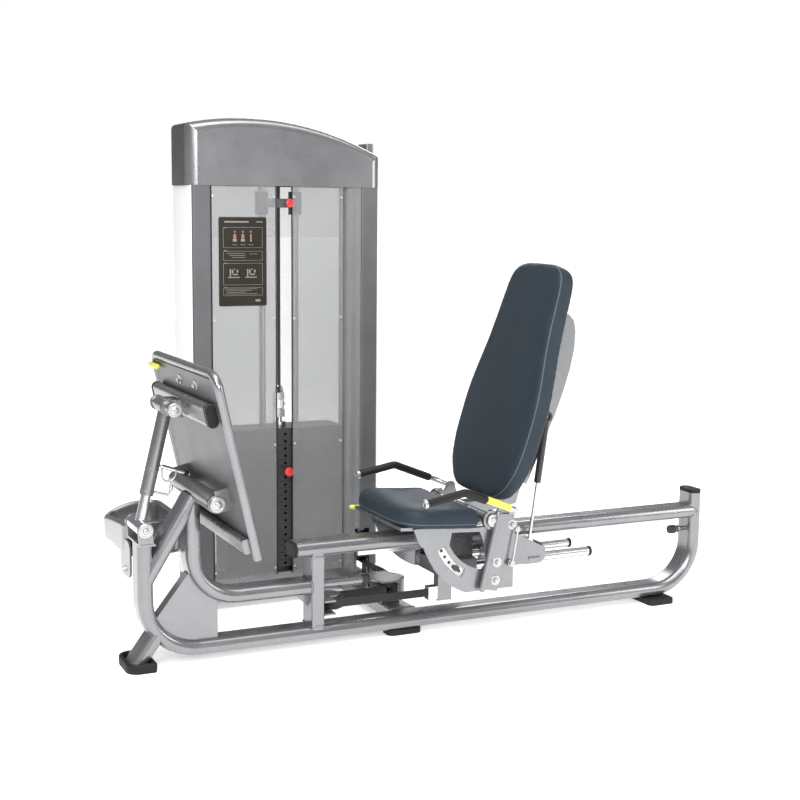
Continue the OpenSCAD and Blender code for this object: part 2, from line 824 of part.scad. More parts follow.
module side_plate_outline() {
    union() {
        intersection() {
            translate(recline_pivot) circle(226, $fn = 128);
            polygon([[770, 349], [recline_pivot[0], 342], [1072, 342], [1072, 153], [900, 153],
                [770, 200]]);
        }
        polygon([[744, 356], [758, 356], [948, 343], [990, 345], [985, 300], [770, 300], [763, 310],
            [752, 338]]);
        translate(recline_pivot) circle(28);
        polygon([[985, 340], [1023, 402], [1049, 402], [1072, 330]]);
        translate(handle_root) circle(15);
    }
}

// Slot for the index pin, an arc round the recline pivot
module index_slot() {
    slot_r = 177;
    translate([recline_pivot[0], 0, recline_pivot[1]]) rotate([90, 0, 0]) rotate([0, 0, 204])
        rotate_extrude(angle = 36, $fn = 96) translate([slot_r - 13, 100]) square([26, 100]);
}

module carriage_frame() {
    rear_x = 1064;
    rear_y = 72;
    placed() color(silver) difference() {
        union() {
            for (s = [-1, 1]) plate_xz(s * (plate_y + 4) - 4, s * (plate_y + 4) + 4) side_plate_outline();
            // Board under the seat pad
            on_seat() block([6, -plate_y, -9], [255, plate_y, 0]);
            // Rear gussets with the push-rod bushes
            for (s = [-1, 1]) {
                plate_xz(s * (rear_y + 3) - 3, s * (rear_y + 3) + 3)
                    polygon([[rear_x, 190], [1226, 190], [1240, 204], [1240, 236], [1073, 319],
                        [rear_x, 319]]);
                block([rear_x, min(s * rear_y, s * plate_y), 190],
                    [rear_x + 8, max(s * rear_y, s * plate_y), 319]);
                for (x = [1080, 1180])
                    rod([x, s * push_rod_y, push_rod_z], [x + 40, s * push_rod_y, push_rod_z], 20);
            }
            block([1232, -rear_y, 214], [1240, rear_y, 246]);
            pin_y(gas_foot, 6, -rear_y, gas_y + 9);
        }
        for (s = [-1, 1]) rod([1060, s * push_rod_y, push_rod_z], [1260, s * push_rod_y, push_rod_z],
            push_rod_r + run_gap);
        pin_y(recline_pivot, recline_shaft_r + run_gap, -200, 200);
        index_slot();
        // Window in the near plate, which shows the shuttle
        plate_xz(-plate_y - 9, -plate_y + 1) intersection() {
            translate(recline_pivot) circle(150);
            polygon([[866, 336], [958, 331], [970, 300], [985, 236], [960, 210], [906, 210], [856, 290]]);
        }
    }
}

module seat_pad() {
    length = 255;
    placed() color(slate) on_seat() linear_extrude(pad_t) union() {
        translate([length / 2 - 6, 0]) round_rect(length, 2 * seat_half_w, 55);
        translate([length - 66, -seat_half_w]) square([60, 2 * seat_half_w]);
    }
}

// Round bar in the XZ plane from the handle's tip over its ball knee towards its root
handle_up = atan2(handle_bend[1] - handle_tip[1], handle_bend[0] - handle_tip[0]);
handle_turn = handle_up + atan2(handle_bend[1] - handle_root[1], handle_root[0] - handle_bend[0]);
knee_extra = 0.6;
module knee_bar(r, from_len, to_len) {
    near = norm(handle_bend - handle_tip);
    translate([handle_tip[0], 0, handle_tip[1]]) rotate([0, 90 - handle_up, 0]) {
        translate([0, 0, from_len]) cylinder(h = near - from_len, r = r);
        translate([0, 0, near]) {
            sphere(r + knee_extra);
            rotate([0, handle_turn, 0]) cylinder(h = to_len, r = r);
        }
    }
}

module handle_bars() {
    root_len = norm(handle_root - handle_bend);
    placed() color(chrome) for (s = [-1, 1]) {
        translate([0, s * handle_y, 0]) {
            knee_bar(handle_r, 7, root_len);
            translate([handle_tip[0], 0, handle_tip[1]]) rotate([0, 90 - handle_up, 0])
                cylinder(h = 8, r = grip_r);
        }
        pin_y(handle_root, 11, min(s * (handle_y + 10), s * (plate_y + 8)),
            max(s * (handle_y + 10), s * (plate_y + 8)));
    }
}

module grips() {
    placed() color(black) for (s = [-1, 1]) translate([0, s * handle_y, 0]) difference() {
        knee_bar(grip_r, 8, s < 0 ? 75 : 135);
        knee_bar(handle_r + 0.2, 0, 150);
    }
}

module seat_lever() {
    hinge = [790, 334];
    placed() {
        color(chrome) {
            pin_y(hinge, 5, 176, 206);
            rod([hinge[0], 200, hinge[1]], [745, 200, 346], 4);
        }
        color(yellow) rod([748, 200, 345], [704, 200, 352], 7);
    }
}

module recline_lever() {
    y = -handle_y;
    yellow_from = [943, y, 437.4];
    yellow_to = [1020, y, 406.4];
    placed() {
        color(yellow) difference() {
            rod(yellow_from, yellow_to, grip_r + 1);
            rod(yellow_from - [10, 0, -4], yellow_to + [10, 0, -4], handle_r + 1);
            translate(yellow_to) rotate([0, 112, 0]) block([4, -20, -120], [40, 20, 40]);
        }
        color(chrome) {
            rod([1008, y - 14, 411.2], [1068, y - 14, 386], 3);
            pin_y(handle_root, 8, y - 17, y - 10);
        }
    }
}

module backrest_frame() {
    board_x = 67;
    placed() color(silver) {
        pin_y(recline_pivot, recline_shaft_r, -arm_y - arm_t - 6, arm_y + arm_t + 6);
        for (s = [-1, 1]) {
            plate_xz(s * (arm_y + arm_t / 2) - arm_t / 2, s * (arm_y + arm_t / 2) + arm_t / 2) union() {
                polygon([[1009, 382], [1070, 376], [1013, 149], [956, 161]]);
                translate(recline_pivot) circle(29);
            }
            // Folded front edge of the arm
            translate([0, s * (arm_y + arm_t + 6), 0]) plate_xz(-7, 7)
                polygon([[1009, 382], [1015, 381], [962, 160], [956, 161]]);
        }
        // Spine from the shaft to the back board
        on_back() {
            plate_xz(-24, 24) union() {
                circle(24);
                polygon([[-4, -23], [14, -20], [160, 56], [160, 110], [71, 120], [69, 48], [-16, 18]]);
            }
            block([board_x, -140, 110], [board_x + 6, 140, 700]);
        }
    }
}

module back_pad() {
    placed() color(slate) on_back() translate([10, 0, 50]) rotate([90, 0, 90]) linear_extrude(pad_t)
        hull() {
        for (s = [-1, 1]) {
            translate([s * 105, 50]) circle(45, $fn = 32);
            translate([s * 172, 95]) circle(45, $fn = 32);
            translate([s * 170, 240]) circle(52, $fn = 32);
            translate([s * 128, 470]) circle(52, $fn = 32);
            translate([s * 98, 677]) circle(61, $fn = 32);
        }
    }
}

module back_shell() {
    wall = 4;
    outer = [[73, 640], [110, 655], [142, 658], [165, 645], [181, 616], [194, 565], [200, 503],
        [199, 430], [194, 350], [183, 270], [165, 122], [73, 122]];
    inner = [[73, 620], [108, 637], [139, 640], [160, 632], [175, 610], [189, 563], [196, 503],
        [195, 430], [190, 350], [179, 270], [161, 121], [73, 121]];
    placed() color(silver) on_back() difference() {
        plate_xz(-shell_half_w, shell_half_w) polygon(outer);
        plate_xz(-shell_half_w + wall, shell_half_w - wall) polygon(inner);
        plate_xz(-25, 25) polygon([[60, 110], [60, 124], [170, 124], [170, 110]]);
    }
}

module gas_rod() {
    placed() color(chrome) on_gas() difference() {
        union() {
            cylinder(h = 260, r = 5);
            rotate([90, 0, 0]) cylinder(h = 12, r = 12, center = true);
        }
        rotate([90, 0, 0]) cylinder(h = 14, r = 6 + run_gap, center = true);
    }
}

module gas_cylinder() {
    placed() color(black) on_gas() difference() {
        union() {
            translate([0, 0, 185]) cylinder(h = gas_len - 185 - 12, r = 11);
            translate([0, 0, gas_len]) rotate([90, 0, 0]) cylinder(h = 12, r = 17, center = true);
        }
        translate([0, 0, 180]) cylinder(h = 130, r = 5 + run_gap);
        translate([0, 0, gas_len]) rotate([90, 0, 0]) cylinder(h = 30, r = 9.5, center = true);
    }
}

// ---- Foot plate ----

module foot_frame() {
    corner = 40;
    r = foot_tube_r;
    ear_y = 188;
    ear_t = 7;
    pivot_local = [-45.8, -354.6];
    placed() color(silver) {
        on_foot() {
            for (s = [-1, 1]) {
                translate([0, s * foot_half_w, -foot_len]) cylinder(h = foot_len - corner, r = r);
                translate([0, s * (foot_half_w - corner), -corner]) rotate([90, 0, 90])
                    rotate([0, 0, s > 0 ? 0 : 90])
                    rotate_extrude(angle = 90) translate([corner, 0]) circle(r);
                // Ears that carry the plate on its pivot
                plate_xz(s * (ear_y + ear_t / 2) - ear_t / 2, s * (ear_y + ear_t / 2) + ear_t / 2) union() {
                    translate(pivot_local) circle(25);
                    translate([pivot_local[0], pivot_local[1] - 25]) square([38.8, 60]);
                }
            }
            translate([0, -foot_half_w + corner, 0]) rotate([-90, 0, 0])
                cylinder(h = 2 * (foot_half_w - corner), r = r);
            translate([-19, 0, -foot_len + 40]) rotate([90, 0, 0])
                linear_extrude(2 * foot_half_w - 18, center = true)
                round_rect(20, 40, 6);
        }
        pin_y(foot_pivot, pivot_pin_r, -ear_y - ear_t - 1, ear_y + ear_t + 1);
        for (s = [-1, 1]) pin_y(foot_pivot, 22, s * 198 - 3, s * 198 + 3);
    }
}

module foot_panel() {
    half = foot_half_w - 12.5;
    corner = 27.5;
    low = foot_len - 30;
    placed() color(silver) on_foot() plate_x(-3, 8) union() {
        translate([-half, -low]) square([2 * half, low - 40]);
        translate([corner - half, -41]) square([2 * (half - corner), 28.5]);
        for (s = [-1, 1]) translate([s * (half - corner), -40]) circle(corner);
    }
}

module foot_crossbar() {
    half = 252;
    local = [-24, -106.8];
    ear = 34;
    placed() {
        color(silver) {
            on_foot() translate([local[0], half, local[1]]) rotate([90, 0, 0]) linear_extrude(2 * half)
                oval_ring(30, 64);
            for (s = [-1, 1]) plate_xz(s * ear - 4, s * ear + 4) union() {
                translate(strut_top) circle(22);
                polygon([[68, 704], [110, 696], [103, 746], [70, 747]]);
            }
            pin_y(strut_top, 10, -86, 86);
            for (s = [-1, 1]) pin_y(strut_top, 18, s * 61 - 23, s * 61 + 23);
            for (s = [-1, 1]) pin_y(strut_top, 21, s * 87 - 3, s * 87 + 3);
        }
        color(black) on_foot() for (s = [-1, 1]) translate([local[0], s * (half + 4), local[1]])
            rotate([90, 0, 0])
            linear_extrude(8, center = true) oval(31, 65);
    }
}

module strut_lower() {
    placed() color(chrome) difference() {
        union() {
            pin_y(strut_foot, 20, -57, 57);
            on_strut() cylinder(h = 200, r = 14);
        }
        pin_y(strut_foot, 8 + run_gap, -60, 60);
    }
}

module strut_upper() {
    outer_from = 88;
    placed() color(silver) on_strut() difference() {
        union() {
            translate([0, 0, outer_from]) cylinder(h = strut_len - outer_from - 16, r = 19);
            translate([0, 0, strut_len]) rotate([90, 0, 0]) cylinder(h = 52, r = 24, center = true);
        }
        translate([0, 0, outer_from - 1]) cylinder(h = 165, r = 14 + run_gap);
        translate([0, 0, strut_len]) rotate([90, 0, 0]) cylinder(h = 54, r = 14, center = true);
    }
}

module strut_lever() {
    placed() on_strut() {
        color(chrome) {
            translate([22.5, 0, 172]) rotate([90, 0, 0]) cylinder(h = 20, r = 3, center = true);
            rod([26, 0, 172], [92, 0, 166], 6);
        }
        color(black) rod([92, 0, 166], [106, 0, 164.7], 7);
    }
}

base_tube();
seat_rail();
loop_tube();
rail_post();
gussets();
front_leg();
pivot_support();
strut_anchor();
tray();
cross_beam();
guide_strip();
travel_stops();
end_caps();
rubber_feet();
pulley_brackets();
tower_posts();
tower_base();
tower_cap();
front_panels();
tower_panels();
placard();
guide_rods();
top_frame();
rest_cushions();
resting_plates();
belt_runs();
near_belt();
lift_belt();
selected_plates();
selector_stem();
selector_pin();
addon_weight();
addon_pin();
left_pulley();
right_pulley();
lower_pulley();
rise_pulley();
drop_pulley();
shuttle_chassis();
push_rods();
belt_clamp();
front_roller();
rear_roller();
carriage_frame();
seat_pad();
handle_bars();
grips();
seat_lever();
recline_lever();
backrest_frame();
back_pad();
back_shell();
gas_cylinder();
gas_rod();
foot_frame();
foot_panel();
foot_crossbar();
strut_lower();
strut_upper();
strut_lever();
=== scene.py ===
"""Looks of the seated leg press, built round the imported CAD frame.

Shapes are written in rail millimetres: x along the seat rail from the left upright, y from the rail's
middle plane towards the weight tower, z up from the floor. TO_ROW turns them into the row frame in metres.
"""
import math
from math import cos, pi, radians, sin

import bmesh
import bpy
from mathutils import Matrix, Vector
from mathutils.bvhtree import BVHTree
from mathutils.noise import noise


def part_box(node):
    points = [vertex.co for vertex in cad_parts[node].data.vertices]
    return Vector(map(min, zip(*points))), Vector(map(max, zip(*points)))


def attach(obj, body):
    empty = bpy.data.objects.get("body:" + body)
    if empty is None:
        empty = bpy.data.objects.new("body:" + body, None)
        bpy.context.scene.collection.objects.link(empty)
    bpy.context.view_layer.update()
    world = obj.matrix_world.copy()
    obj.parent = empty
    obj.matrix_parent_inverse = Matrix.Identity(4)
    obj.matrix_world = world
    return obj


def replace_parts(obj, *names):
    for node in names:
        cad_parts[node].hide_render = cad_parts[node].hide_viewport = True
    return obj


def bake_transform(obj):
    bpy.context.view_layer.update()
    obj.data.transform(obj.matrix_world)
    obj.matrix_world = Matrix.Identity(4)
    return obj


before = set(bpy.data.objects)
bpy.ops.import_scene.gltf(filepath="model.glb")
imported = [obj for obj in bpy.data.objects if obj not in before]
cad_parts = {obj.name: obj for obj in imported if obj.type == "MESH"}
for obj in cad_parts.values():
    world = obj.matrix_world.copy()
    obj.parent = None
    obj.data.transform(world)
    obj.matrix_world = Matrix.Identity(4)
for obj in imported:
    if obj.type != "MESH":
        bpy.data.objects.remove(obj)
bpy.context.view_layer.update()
SCENE = bpy.context.scene

# ---- Frames ----

MM = 0.001
TUBE_T, TUBE_W = 43.0, 86.0
base_lo, base_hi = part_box("base_tube")
ORIGIN = Vector((base_lo.x + TUBE_T / 2 * MM, (base_lo.y + base_hi.y) / 2, 0.0))
TO_ROW = Matrix.Translation(ORIGIN) @ Matrix.Diagonal((MM, MM, MM, 1.0))
WORLD_MM = Matrix.Identity(4)


def V(*xyz):
    return Vector(xyz)


NEAR, RIGHT_WAY, LEFT_WAY = V(0, -1, 0), V(1, 0, 0), V(-1, 0, 0)


def moved_by(x, y, z):
    return Matrix.Translation((x, y, z))


def turn(degrees, axis="Y"):
    return Matrix.Rotation(radians(degrees), 4, axis)


def local_frame(at, degrees):
    """Frame at a point, turned about y."""
    return Matrix.Translation(at) @ turn(degrees)


def facing(at, direction, spin=0.0):
    """Frame at a point with its z axis along a direction."""
    q = Vector(direction).normalized().to_track_quat("Z", "Y").to_matrix().to_4x4()
    return Matrix.Translation(at) @ q @ Matrix.Rotation(spin, 4, "Z")


RECLINE, FOOT_TILT, SEAT_TILT = 17.3, -12.65, 4.0
STRUT_FOOT, STRUT_TOP = V(-8, 0, 398), V(72, 0, 725)
RECLINE_PIVOT = V(994, 0, 364)
ON_BACK = local_frame(RECLINE_PIVOT, RECLINE)
ON_FOOT = local_frame(V(121, 0, 839), FOOT_TILT)
ON_SEAT = local_frame(V(700, 0, 362.5), SEAT_TILT)
strut = STRUT_TOP - STRUT_FOOT
ON_STRUT = local_frame(STRUT_FOOT, math.degrees(math.atan2(strut.x, strut.z)))

# ---- Materials ----


def link(tree, a, b):
    tree.links.new(a, b)


def object_texture(tree, kind, output, **numbers):
    """A texture over the object's own coordinates, in metres."""
    coords = tree.nodes.new("ShaderNodeTexCoord")
    tex = tree.nodes.new("ShaderNodeTex" + kind)
    for name, number in numbers.items():
        tex.inputs[name].default_value = number
    link(tree, coords.outputs["Object"], tex.inputs["Vector"])
    return tex.outputs[output]


def object_noise(tree, scale, detail=4.0):
    return object_texture(tree, "Noise", "Fac", Scale=scale, Detail=detail, Roughness=0.6)


def spread(tree, value, low, high):
    """Maps the middle of a 0..1 value to low..high."""
    node = tree.nodes.new("ShaderNodeMapRange")
    for name, number in (("From Min", 0.3), ("From Max", 0.7), ("To Min", low), ("To Max", high)):
        node.inputs[name].default_value = number
    link(tree, value, node.inputs["Value"])
    return node.outputs["Result"]


def blended(tree, fac, dark, light):
    node = tree.nodes.new("ShaderNodeMix")
    node.data_type = "RGBA"
    node.inputs["A"].default_value = (*dark, 1)
    node.inputs["B"].default_value = (*light, 1)
    link(tree, fac, node.inputs["Factor"])
    return node.outputs["Result"]


def bumped(tree, height, distance, below=None):
    node = tree.nodes.new("ShaderNodeBump")
    node.inputs["Strength"].default_value = 1.0
    node.inputs["Distance"].default_value = distance
    link(tree, height, node.inputs["Height"])
    if below is not None:
        link(tree, below, node.inputs["Normal"])
    return node.outputs["Normal"]


def finish_material(name, dark, light, rough, metallic=0.0, blotch=9.0, speck=900.0, speck_depth=0.00002,
                    wave_scale=0.0, wave_depth=0.0, cells=0.0, cell_depth=0.0, **sockets):
    """A procedural finish: blotchy colour, varied roughness, and bump from grain, waves and cells."""
    mat = bpy.data.materials.new(name)
    mat.use_nodes = True
    tree = mat.node_tree
    bsdf = tree.nodes["Principled BSDF"]
    bsdf.inputs["Metallic"].default_value = metallic
    for socket, value in sockets.items():
        bsdf.inputs[socket.replace("_", " ")].default_value = value
    broad = object_noise(tree, blotch)
    fine = object_noise(tree, speck, 3.0)
    tone = tree.nodes.new("ShaderNodeMath")
    tone.operation = "MULTIPLY_ADD"
    tone.inputs[1].default_value = 0.45
    link(tree, fine, tone.inputs[0])
    link(tree, spread(tree, broad, 0.0, 0.55), tone.inputs[2])
    link(tree, blended(tree, tone.outputs[0], dark, light), bsdf.inputs["Base Color"])
    link(tree, spread(tree, broad, *rough), bsdf.inputs["Roughness"])
    normal = bumped(tree, fine, speck_depth)
    if wave_scale:
        normal = bumped(tree, object_noise(tree, wave_scale, 2.0), wave_depth, below=normal)
    if cells:
        normal = bumped(tree, object_texture(tree, "Voronoi", "Distance", Scale=cells), cell_depth, below=normal)
    link(tree, normal, bsdf.inputs["Normal"])
    return mat


FINISHES = {
    "silver_paint": dict(look=((0.235, 0.238, 0.245), (0.29, 0.293, 0.30), (0.25, 0.31), 0.8),
        speck=2600, speck_depth=0.00001, wave_scale=260, wave_depth=0.00001, Coat_Weight=0.25,
                Coat_Roughness=0.12),
    "dark_paint": dict(look=((0.10, 0.102, 0.105), (0.13, 0.132, 0.135), (0.40, 0.48), 0.4),
        speck=2200, speck_depth=0.00001, wave_scale=300, wave_depth=0.00003),
    "frosted_acrylic": dict(look=((0.26, 0.263, 0.266), (0.30, 0.303, 0.306), (0.34, 0.42), 0.0),
        speck=3000, speck_depth=0.000006, Alpha=0.46),
    "side_acrylic": dict(look=((0.84, 0.845, 0.85), (0.88, 0.885, 0.89), (0.34, 0.42), 0.0),
        speck=3000, speck_depth=0.000006, Alpha=0.9),
    "rear_acrylic": dict(look=((0.84, 0.845, 0.85), (0.88, 0.885, 0.89), (0.34, 0.42), 0.0),
        speck=3000, speck_depth=0.000006, Alpha=0.2),
    # painted shade: a darker copy of silver_paint, standing in for the shade that falls on the foot panel's face
    "painted_shade_silver": dict(look=((0.125, 0.127, 0.13), (0.155, 0.157, 0.16), (0.34, 0.42), 0.5),
        speck=1300, speck_depth=0.00001),
    "cap_dark": dict(look=((0.034, 0.035, 0.036), (0.048, 0.049, 0.050), (0.4, 0.5), 0.0),
        speck=2200, speck_depth=0.00001),
    "black_rubber": dict(look=((0.006, 0.006, 0.0065), (0.013, 0.013, 0.014), (0.5, 0.62), 0.0),
        speck=1500, speck_depth=0.00005, Specular_IOR_Level=0.3),
    "stop_rubber": dict(look=((0.014, 0.014, 0.015), (0.03, 0.03, 0.032), (0.5, 0.62), 0.0),
        speck=1200, speck_depth=0.00006),
    "chrome": dict(look=((0.62, 0.63, 0.64), (0.72, 0.73, 0.74), (0.22, 0.28), 1.0),
        speck=900, speck_depth=0.0000008, blotch=9),
    "zinc": dict(look=((0.48, 0.48, 0.475), (0.60, 0.60, 0.595), (0.26, 0.36), 0.9),
        speck=1500, speck_depth=0.000004, blotch=40),
    "stack_iron": dict(look=((0.022, 0.022, 0.024), (0.045, 0.045, 0.048), (0.38, 0.55), 0.2),
        speck=700, speck_depth=0.00012, wave_scale=180, wave_depth=0.00008),
    "red_knob": dict(look=((0.52, 0.018, 0.018), (0.66, 0.03, 0.028), (0.22, 0.32), 0.0),
        speck=600, speck_depth=0.00001, Coat_Weight=0.4),
    "black_belt": dict(look=((0.010, 0.010, 0.011), (0.024, 0.024, 0.026), (0.42, 0.56), 0.0),
        speck=1800, speck_depth=0.00008, cells=900, cell_depth=0.00005),
    "black_nylon": dict(look=((0.016, 0.016, 0.017), (0.034, 0.034, 0.036), (0.3, 0.42), 0.0),
        speck=1600, speck_depth=0.00002),
    "placard_black": dict(look=((0.016, 0.013, 0.010), (0.026, 0.022, 0.018), (0.3, 0.4), 0.0),
        speck=2000, speck_depth=0.000004, Specular_IOR_Level=0.2),
    "print_pale": dict(look=((0.17, 0.16, 0.135), (0.25, 0.24, 0.205), (0.4, 0.5), 0.0), speck=2600,
            speck_depth=0.000005),
    "print_warm": dict(look=((0.24, 0.10, 0.045), (0.34, 0.16, 0.075), (0.4, 0.5), 0.0), speck=2600,
            speck_depth=0.000005),
    "upholstery": dict(look=((0.017, 0.026, 0.035), (0.026, 0.037, 0.048), (0.46, 0.56), 0.0), blotch=14,
        speck=1500, speck_depth=0.00006, wave_scale=420, wave_depth=0.00008, cells=760, cell_depth=0.00016,
        Sheen_Weight=0.01, Sheen_Roughness=0.5, Specular_IOR_Level=0.2),
    # partly painted highlight: the seam cord is real, but its colour is kept paler than the upholstery to paint
    # the light line along the pad's edge fold
    "seam_highlight": dict(look=((0.075, 0.095, 0.115), (0.11, 0.135, 0.155), (0.45, 0.55), 0.0),
        speck=2500, speck_depth=0.00008),
    "yellow_plastic": dict(look=((0.62, 0.64, 0.07), (0.72, 0.74, 0.11), (0.3, 0.42), 0.0),
        speck=900, speck_depth=0.00002, Coat_Weight=0.2),
    "black_paint": dict(look=((0.012, 0.012, 0.012), (0.024, 0.024, 0.024), (0.2, 0.3), 0.0),
        speck=1600, speck_depth=0.00001, Coat_Weight=0.3),
    "index_white": dict(look=((0.70, 0.71, 0.71), (0.80, 0.81, 0.81), (0.32, 0.42), 0.1),
        speck=1800, speck_depth=0.00001),
    "weld": dict(look=((0.22, 0.223, 0.23), (0.29, 0.293, 0.30), (0.34, 0.46), 0.75),
        speck=1300, speck_depth=0.00005),
    "foam": dict(look=((0.006, 0.006, 0.0065), (0.014, 0.014, 0.015), (0.42, 0.54), 0.0),
        speck=1100, speck_depth=0.00008, cells=1300, cell_depth=0.00006, Specular_IOR_Level=0.3),
}
MATS = {name: finish_material(name, *spec.pop("look"), **spec) for name, spec in FINISHES.items()}

for mesh_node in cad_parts.values():
    for material_slot in mesh_node.material_slots:
        material_slot.material = MATS[material_slot.material.name.split(".")[0]]
    for polygon in mesh_node.data.polygons:
        polygon.use_smooth = True
    mesh_node.data.set_sharp_from_angle(angle=radians(28))
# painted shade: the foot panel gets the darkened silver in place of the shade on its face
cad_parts["foot_panel"].material_slots[0].material = MATS["painted_shade_silver"]

# ---- Mesh tools, in millimetres ----


def join(target, other, at=WORLD_MM):
    """Adds another bmesh to target, placed by a matrix."""
    other.transform(at)
    temp = bpy.data.meshes.new("join")
    other.to_mesh(temp)
    other.free()
    target.from_mesh(temp)
    bpy.data.meshes.remove(temp)
    return target


def gather(parts):
    whole = bmesh.new()
    for bm, at in parts:
        join(whole, bm, at)
    return whole


def make(name, bm, mat, body, at=WORLD_MM, bevel=0.0, segments=3, sharp=32):
    """Turns a bmesh in millimetres into a piece that rides on a body."""
    bm.transform(TO_ROW @ at)
    bmesh.ops.remove_doubles(bm, verts=bm.verts, dist=1e-6)
    bmesh.ops.recalc_face_normals(bm, faces=bm.faces)
    mesh = bpy.data.meshes.new(name)
    bm.to_mesh(mesh)
    bm.free()
    mesh.materials.append(MATS[mat])
    for polygon in mesh.polygons:
        polygon.use_smooth = True
    mesh.set_sharp_from_angle(angle=radians(sharp))
    obj = bpy.data.objects.new(name, mesh)
    SCENE.collection.objects.link(obj)
    if bevel:
        mod = obj.modifiers.new("edges", "BEVEL")
        mod.width, mod.segments = bevel * MM, segments
        mod.limit_method, mod.angle_limit = "ANGLE", radians(30)
        mod.harden_normals = True
    if body:
        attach(obj, body)
    return obj


def turned(profile, seg=48):
    """Solid of revolution about z from (radius, height) points."""
    bm = bmesh.new()
    rings = []
    for r, h in profile:
        if r < 1e-6:
            rings.append([bm.verts.new((0, 0, h))])
        else:
            rings.append([bm.verts.new((r * cos(2 * pi * k / seg), r * sin(2 * pi * k / seg), h))
                          for k in range(seg)])
    for a, b in zip(rings, rings[1:]):
        for k in range(seg):
            n = (k + 1) % seg
            if len(a) == 1:
                bm.faces.new((a[0], b[k], b[n]))
            elif len(b) == 1:
                bm.faces.new((a[k], b[0], a[n]))
            else:
                bm.faces.new((a[k], b[k], b[n], a[n]))
    return bm


def prism(outline, h0, h1, across="y"):
    """Closed prism: outline points lie in xz and it runs along y, or in xy and it runs along z."""
    bm = bmesh.new()
    put = (lambda p, h: (p[0], h, p[1])) if across == "y" else (lambda p, h: (p[0], p[1], h))
    low = [bm.verts.new(put(p, h0)) for p in outline]
    high = [bm.verts.new(put(p, h1)) for p in outline]
    bm.faces.new(low)
    bm.faces.new(list(reversed(high)))
    for k in range(len(outline)):
        n = (k + 1) % len(outline)
        bm.faces.new((low[k], high[k], high[n], low[n]))
    return bm


def box(lo, hi):
    return prism([(lo[0], lo[1]), (hi[0], lo[1]), (hi[0], hi[1]), (lo[0], hi[1])], lo[2], hi[2], "z")


def sweep(points, section, ups, closed=False):
    """Sweeps a closed section, given in (side, up) millimetres, along points with an up vector at each."""
    bm = bmesh.new()
    rings, count = [], len(points)
    for k, p in enumerate(points):
        before = points[k - 1] if k or closed else p
        after = points[(k + 1) % count] if k < count - 1 or closed else p
        along = (after - before).normalized()
        up = (ups[k] - along * ups[k].dot(along)).normalized()
        side = along.cross(up)
        shape = section(k) if callable(section) else section
        rings.append([bm.verts.new(p + side * s + up * u) for s, u in shape])
    return skin(bm, rings + ([rings[0]] if closed else []), capped=not closed)


def skin(bm, rings, capped=True):
    """Joins rings of vertices in turn with quads, and closes the first and last."""
    size = len(rings[0])
    for a, b in zip(rings, rings[1:]):
        for k in range(size):
            n = (k + 1) % size
            bm.faces.new((a[k], a[n], b[n], b[k]))
    if capped:
        bm.faces.new(list(reversed(rings[0])))
        bm.faces.new(rings[-1])
    return bm


def circle(r, seg=20):
    return [(r * cos(2 * pi * k / seg), r * sin(2 * pi * k / seg)) for k in range(seg)]


def rod(points, r, seg=20, up=V(0, 1, 0.013)):
    return sweep(points, circle(r, seg), [up] * len(points))


def smooth_path(points, radius, steps=8):
    """Rounds the inner corners of a polyline with arcs of about the given radius."""
    path = [points[0]]
    for a, b, c in zip(points, points[1:], points[2:]):
        u, w = (a - b).normalized(), (c - b).normalized()
        reach = min(radius / math.tan(max(u.angle(w) / 2, 0.05)), (a - b).length / 2.05, (c - b).length / 2.05)
        for k in range(steps + 1):
            t = k / steps
            p, q = b + u * reach * (1 - t), b + w * reach * t
            path.append(p.lerp(q, t))
    path.append(points[-1])
    return path


def oval_points(t, w, seg=12):
    """Flat oval: thickness along the first axis, width along the second."""
    pts = []
    for sign in (1, -1):
        for k in range(seg + 1):
            a = pi * k / seg
            pts.append((t / 2 * cos(a) * sign, sign * ((w - t) / 2 + t / 2 * sin(a))))
    return pts


def round_rect_points(w, d, r, seg=6):
    pts = []
    for sx, sy, start in ((1, 1, 0), (-1, 1, 90), (-1, -1, 180), (1, -1, 270)):
        for k in range(seg + 1):
            a = radians(start + 90 * k / seg)
            pts.append((sx * (w / 2 - r) + r * cos(a), sy * (d / 2 - r) + r * sin(a)))
    return pts


def hexagon(flat):
    r = flat / math.sqrt(3)
    return [(r * cos(pi * k / 3), r * sin(pi * k / 3)) for k in range(6)]


def hex_bolt(flat, washer=True, stud=0.0):
    """Hexagon head with a chamfered crown on a washer, standing along z from 0."""
    parts = []
    base = 0.0
    if washer:
        r = flat * 0.98
        parts.append((turned([(0, -0.2), (r, -0.2), (r, 1.5), (r - 0.6, 2.0), (0, 2.0)]), WORLD_MM))
        base = 2.0
    height = flat * 0.55
    head = bmesh.new()
    rings = [[head.verts.new((x * s, y * s, h)) for x, y in hexagon(flat)]
             for s, h in ((1.0, base), (1.0, base + height * 0.8), (0.86, base + height))]
    skin(head, rings, capped=False)
    head.faces.new(list(reversed(rings[0])))
    tip = head.verts.new((0, 0, base + height + 0.2))
    for k in range(6):
        head.faces.new((rings[-1][k], rings[-1][(k + 1) % 6], tip))
    parts.append((head, WORLD_MM))
    if stud:
        parts.append((turned([(0, base), (flat * 0.27, base), (flat * 0.27, base + height + stud - 1),
                              (flat * 0.2, base + height + stud), (0, base + height + stud)], 24), WORLD_MM))
    return gather(parts)


def button_bolt(r):
    """Button-head screw with a socket, standing along z from 0."""
    h, s = r * 0.55, r * 0.38
    return turned([(0, -0.3), (r, -0.3), (r, h * 0.35), (r * 0.9, h * 0.7), (r * 0.7, h * 0.93), (s + 0.6, h),
                   (s, h - 0.2), (s, h * 0.35), (0, h * 0.3)], 24)


def pivot_cap(r):
    """Bright turned end cap of a pivot: stepped rim and a socket screw in its middle."""
    return gather([
        (turned([(0, -0.5), (r, -0.5), (r, 2.2), (r - 1.2, 3.4), (r * 0.78, 3.6), (r * 0.72, 2.4), (r * 0.55,
                2.2),
                 (r * 0.5, 2.6), (0, 2.6)]), WORLD_MM),
        (button_bolt(r * 0.4), moved_by(0, 0, 2.6))])


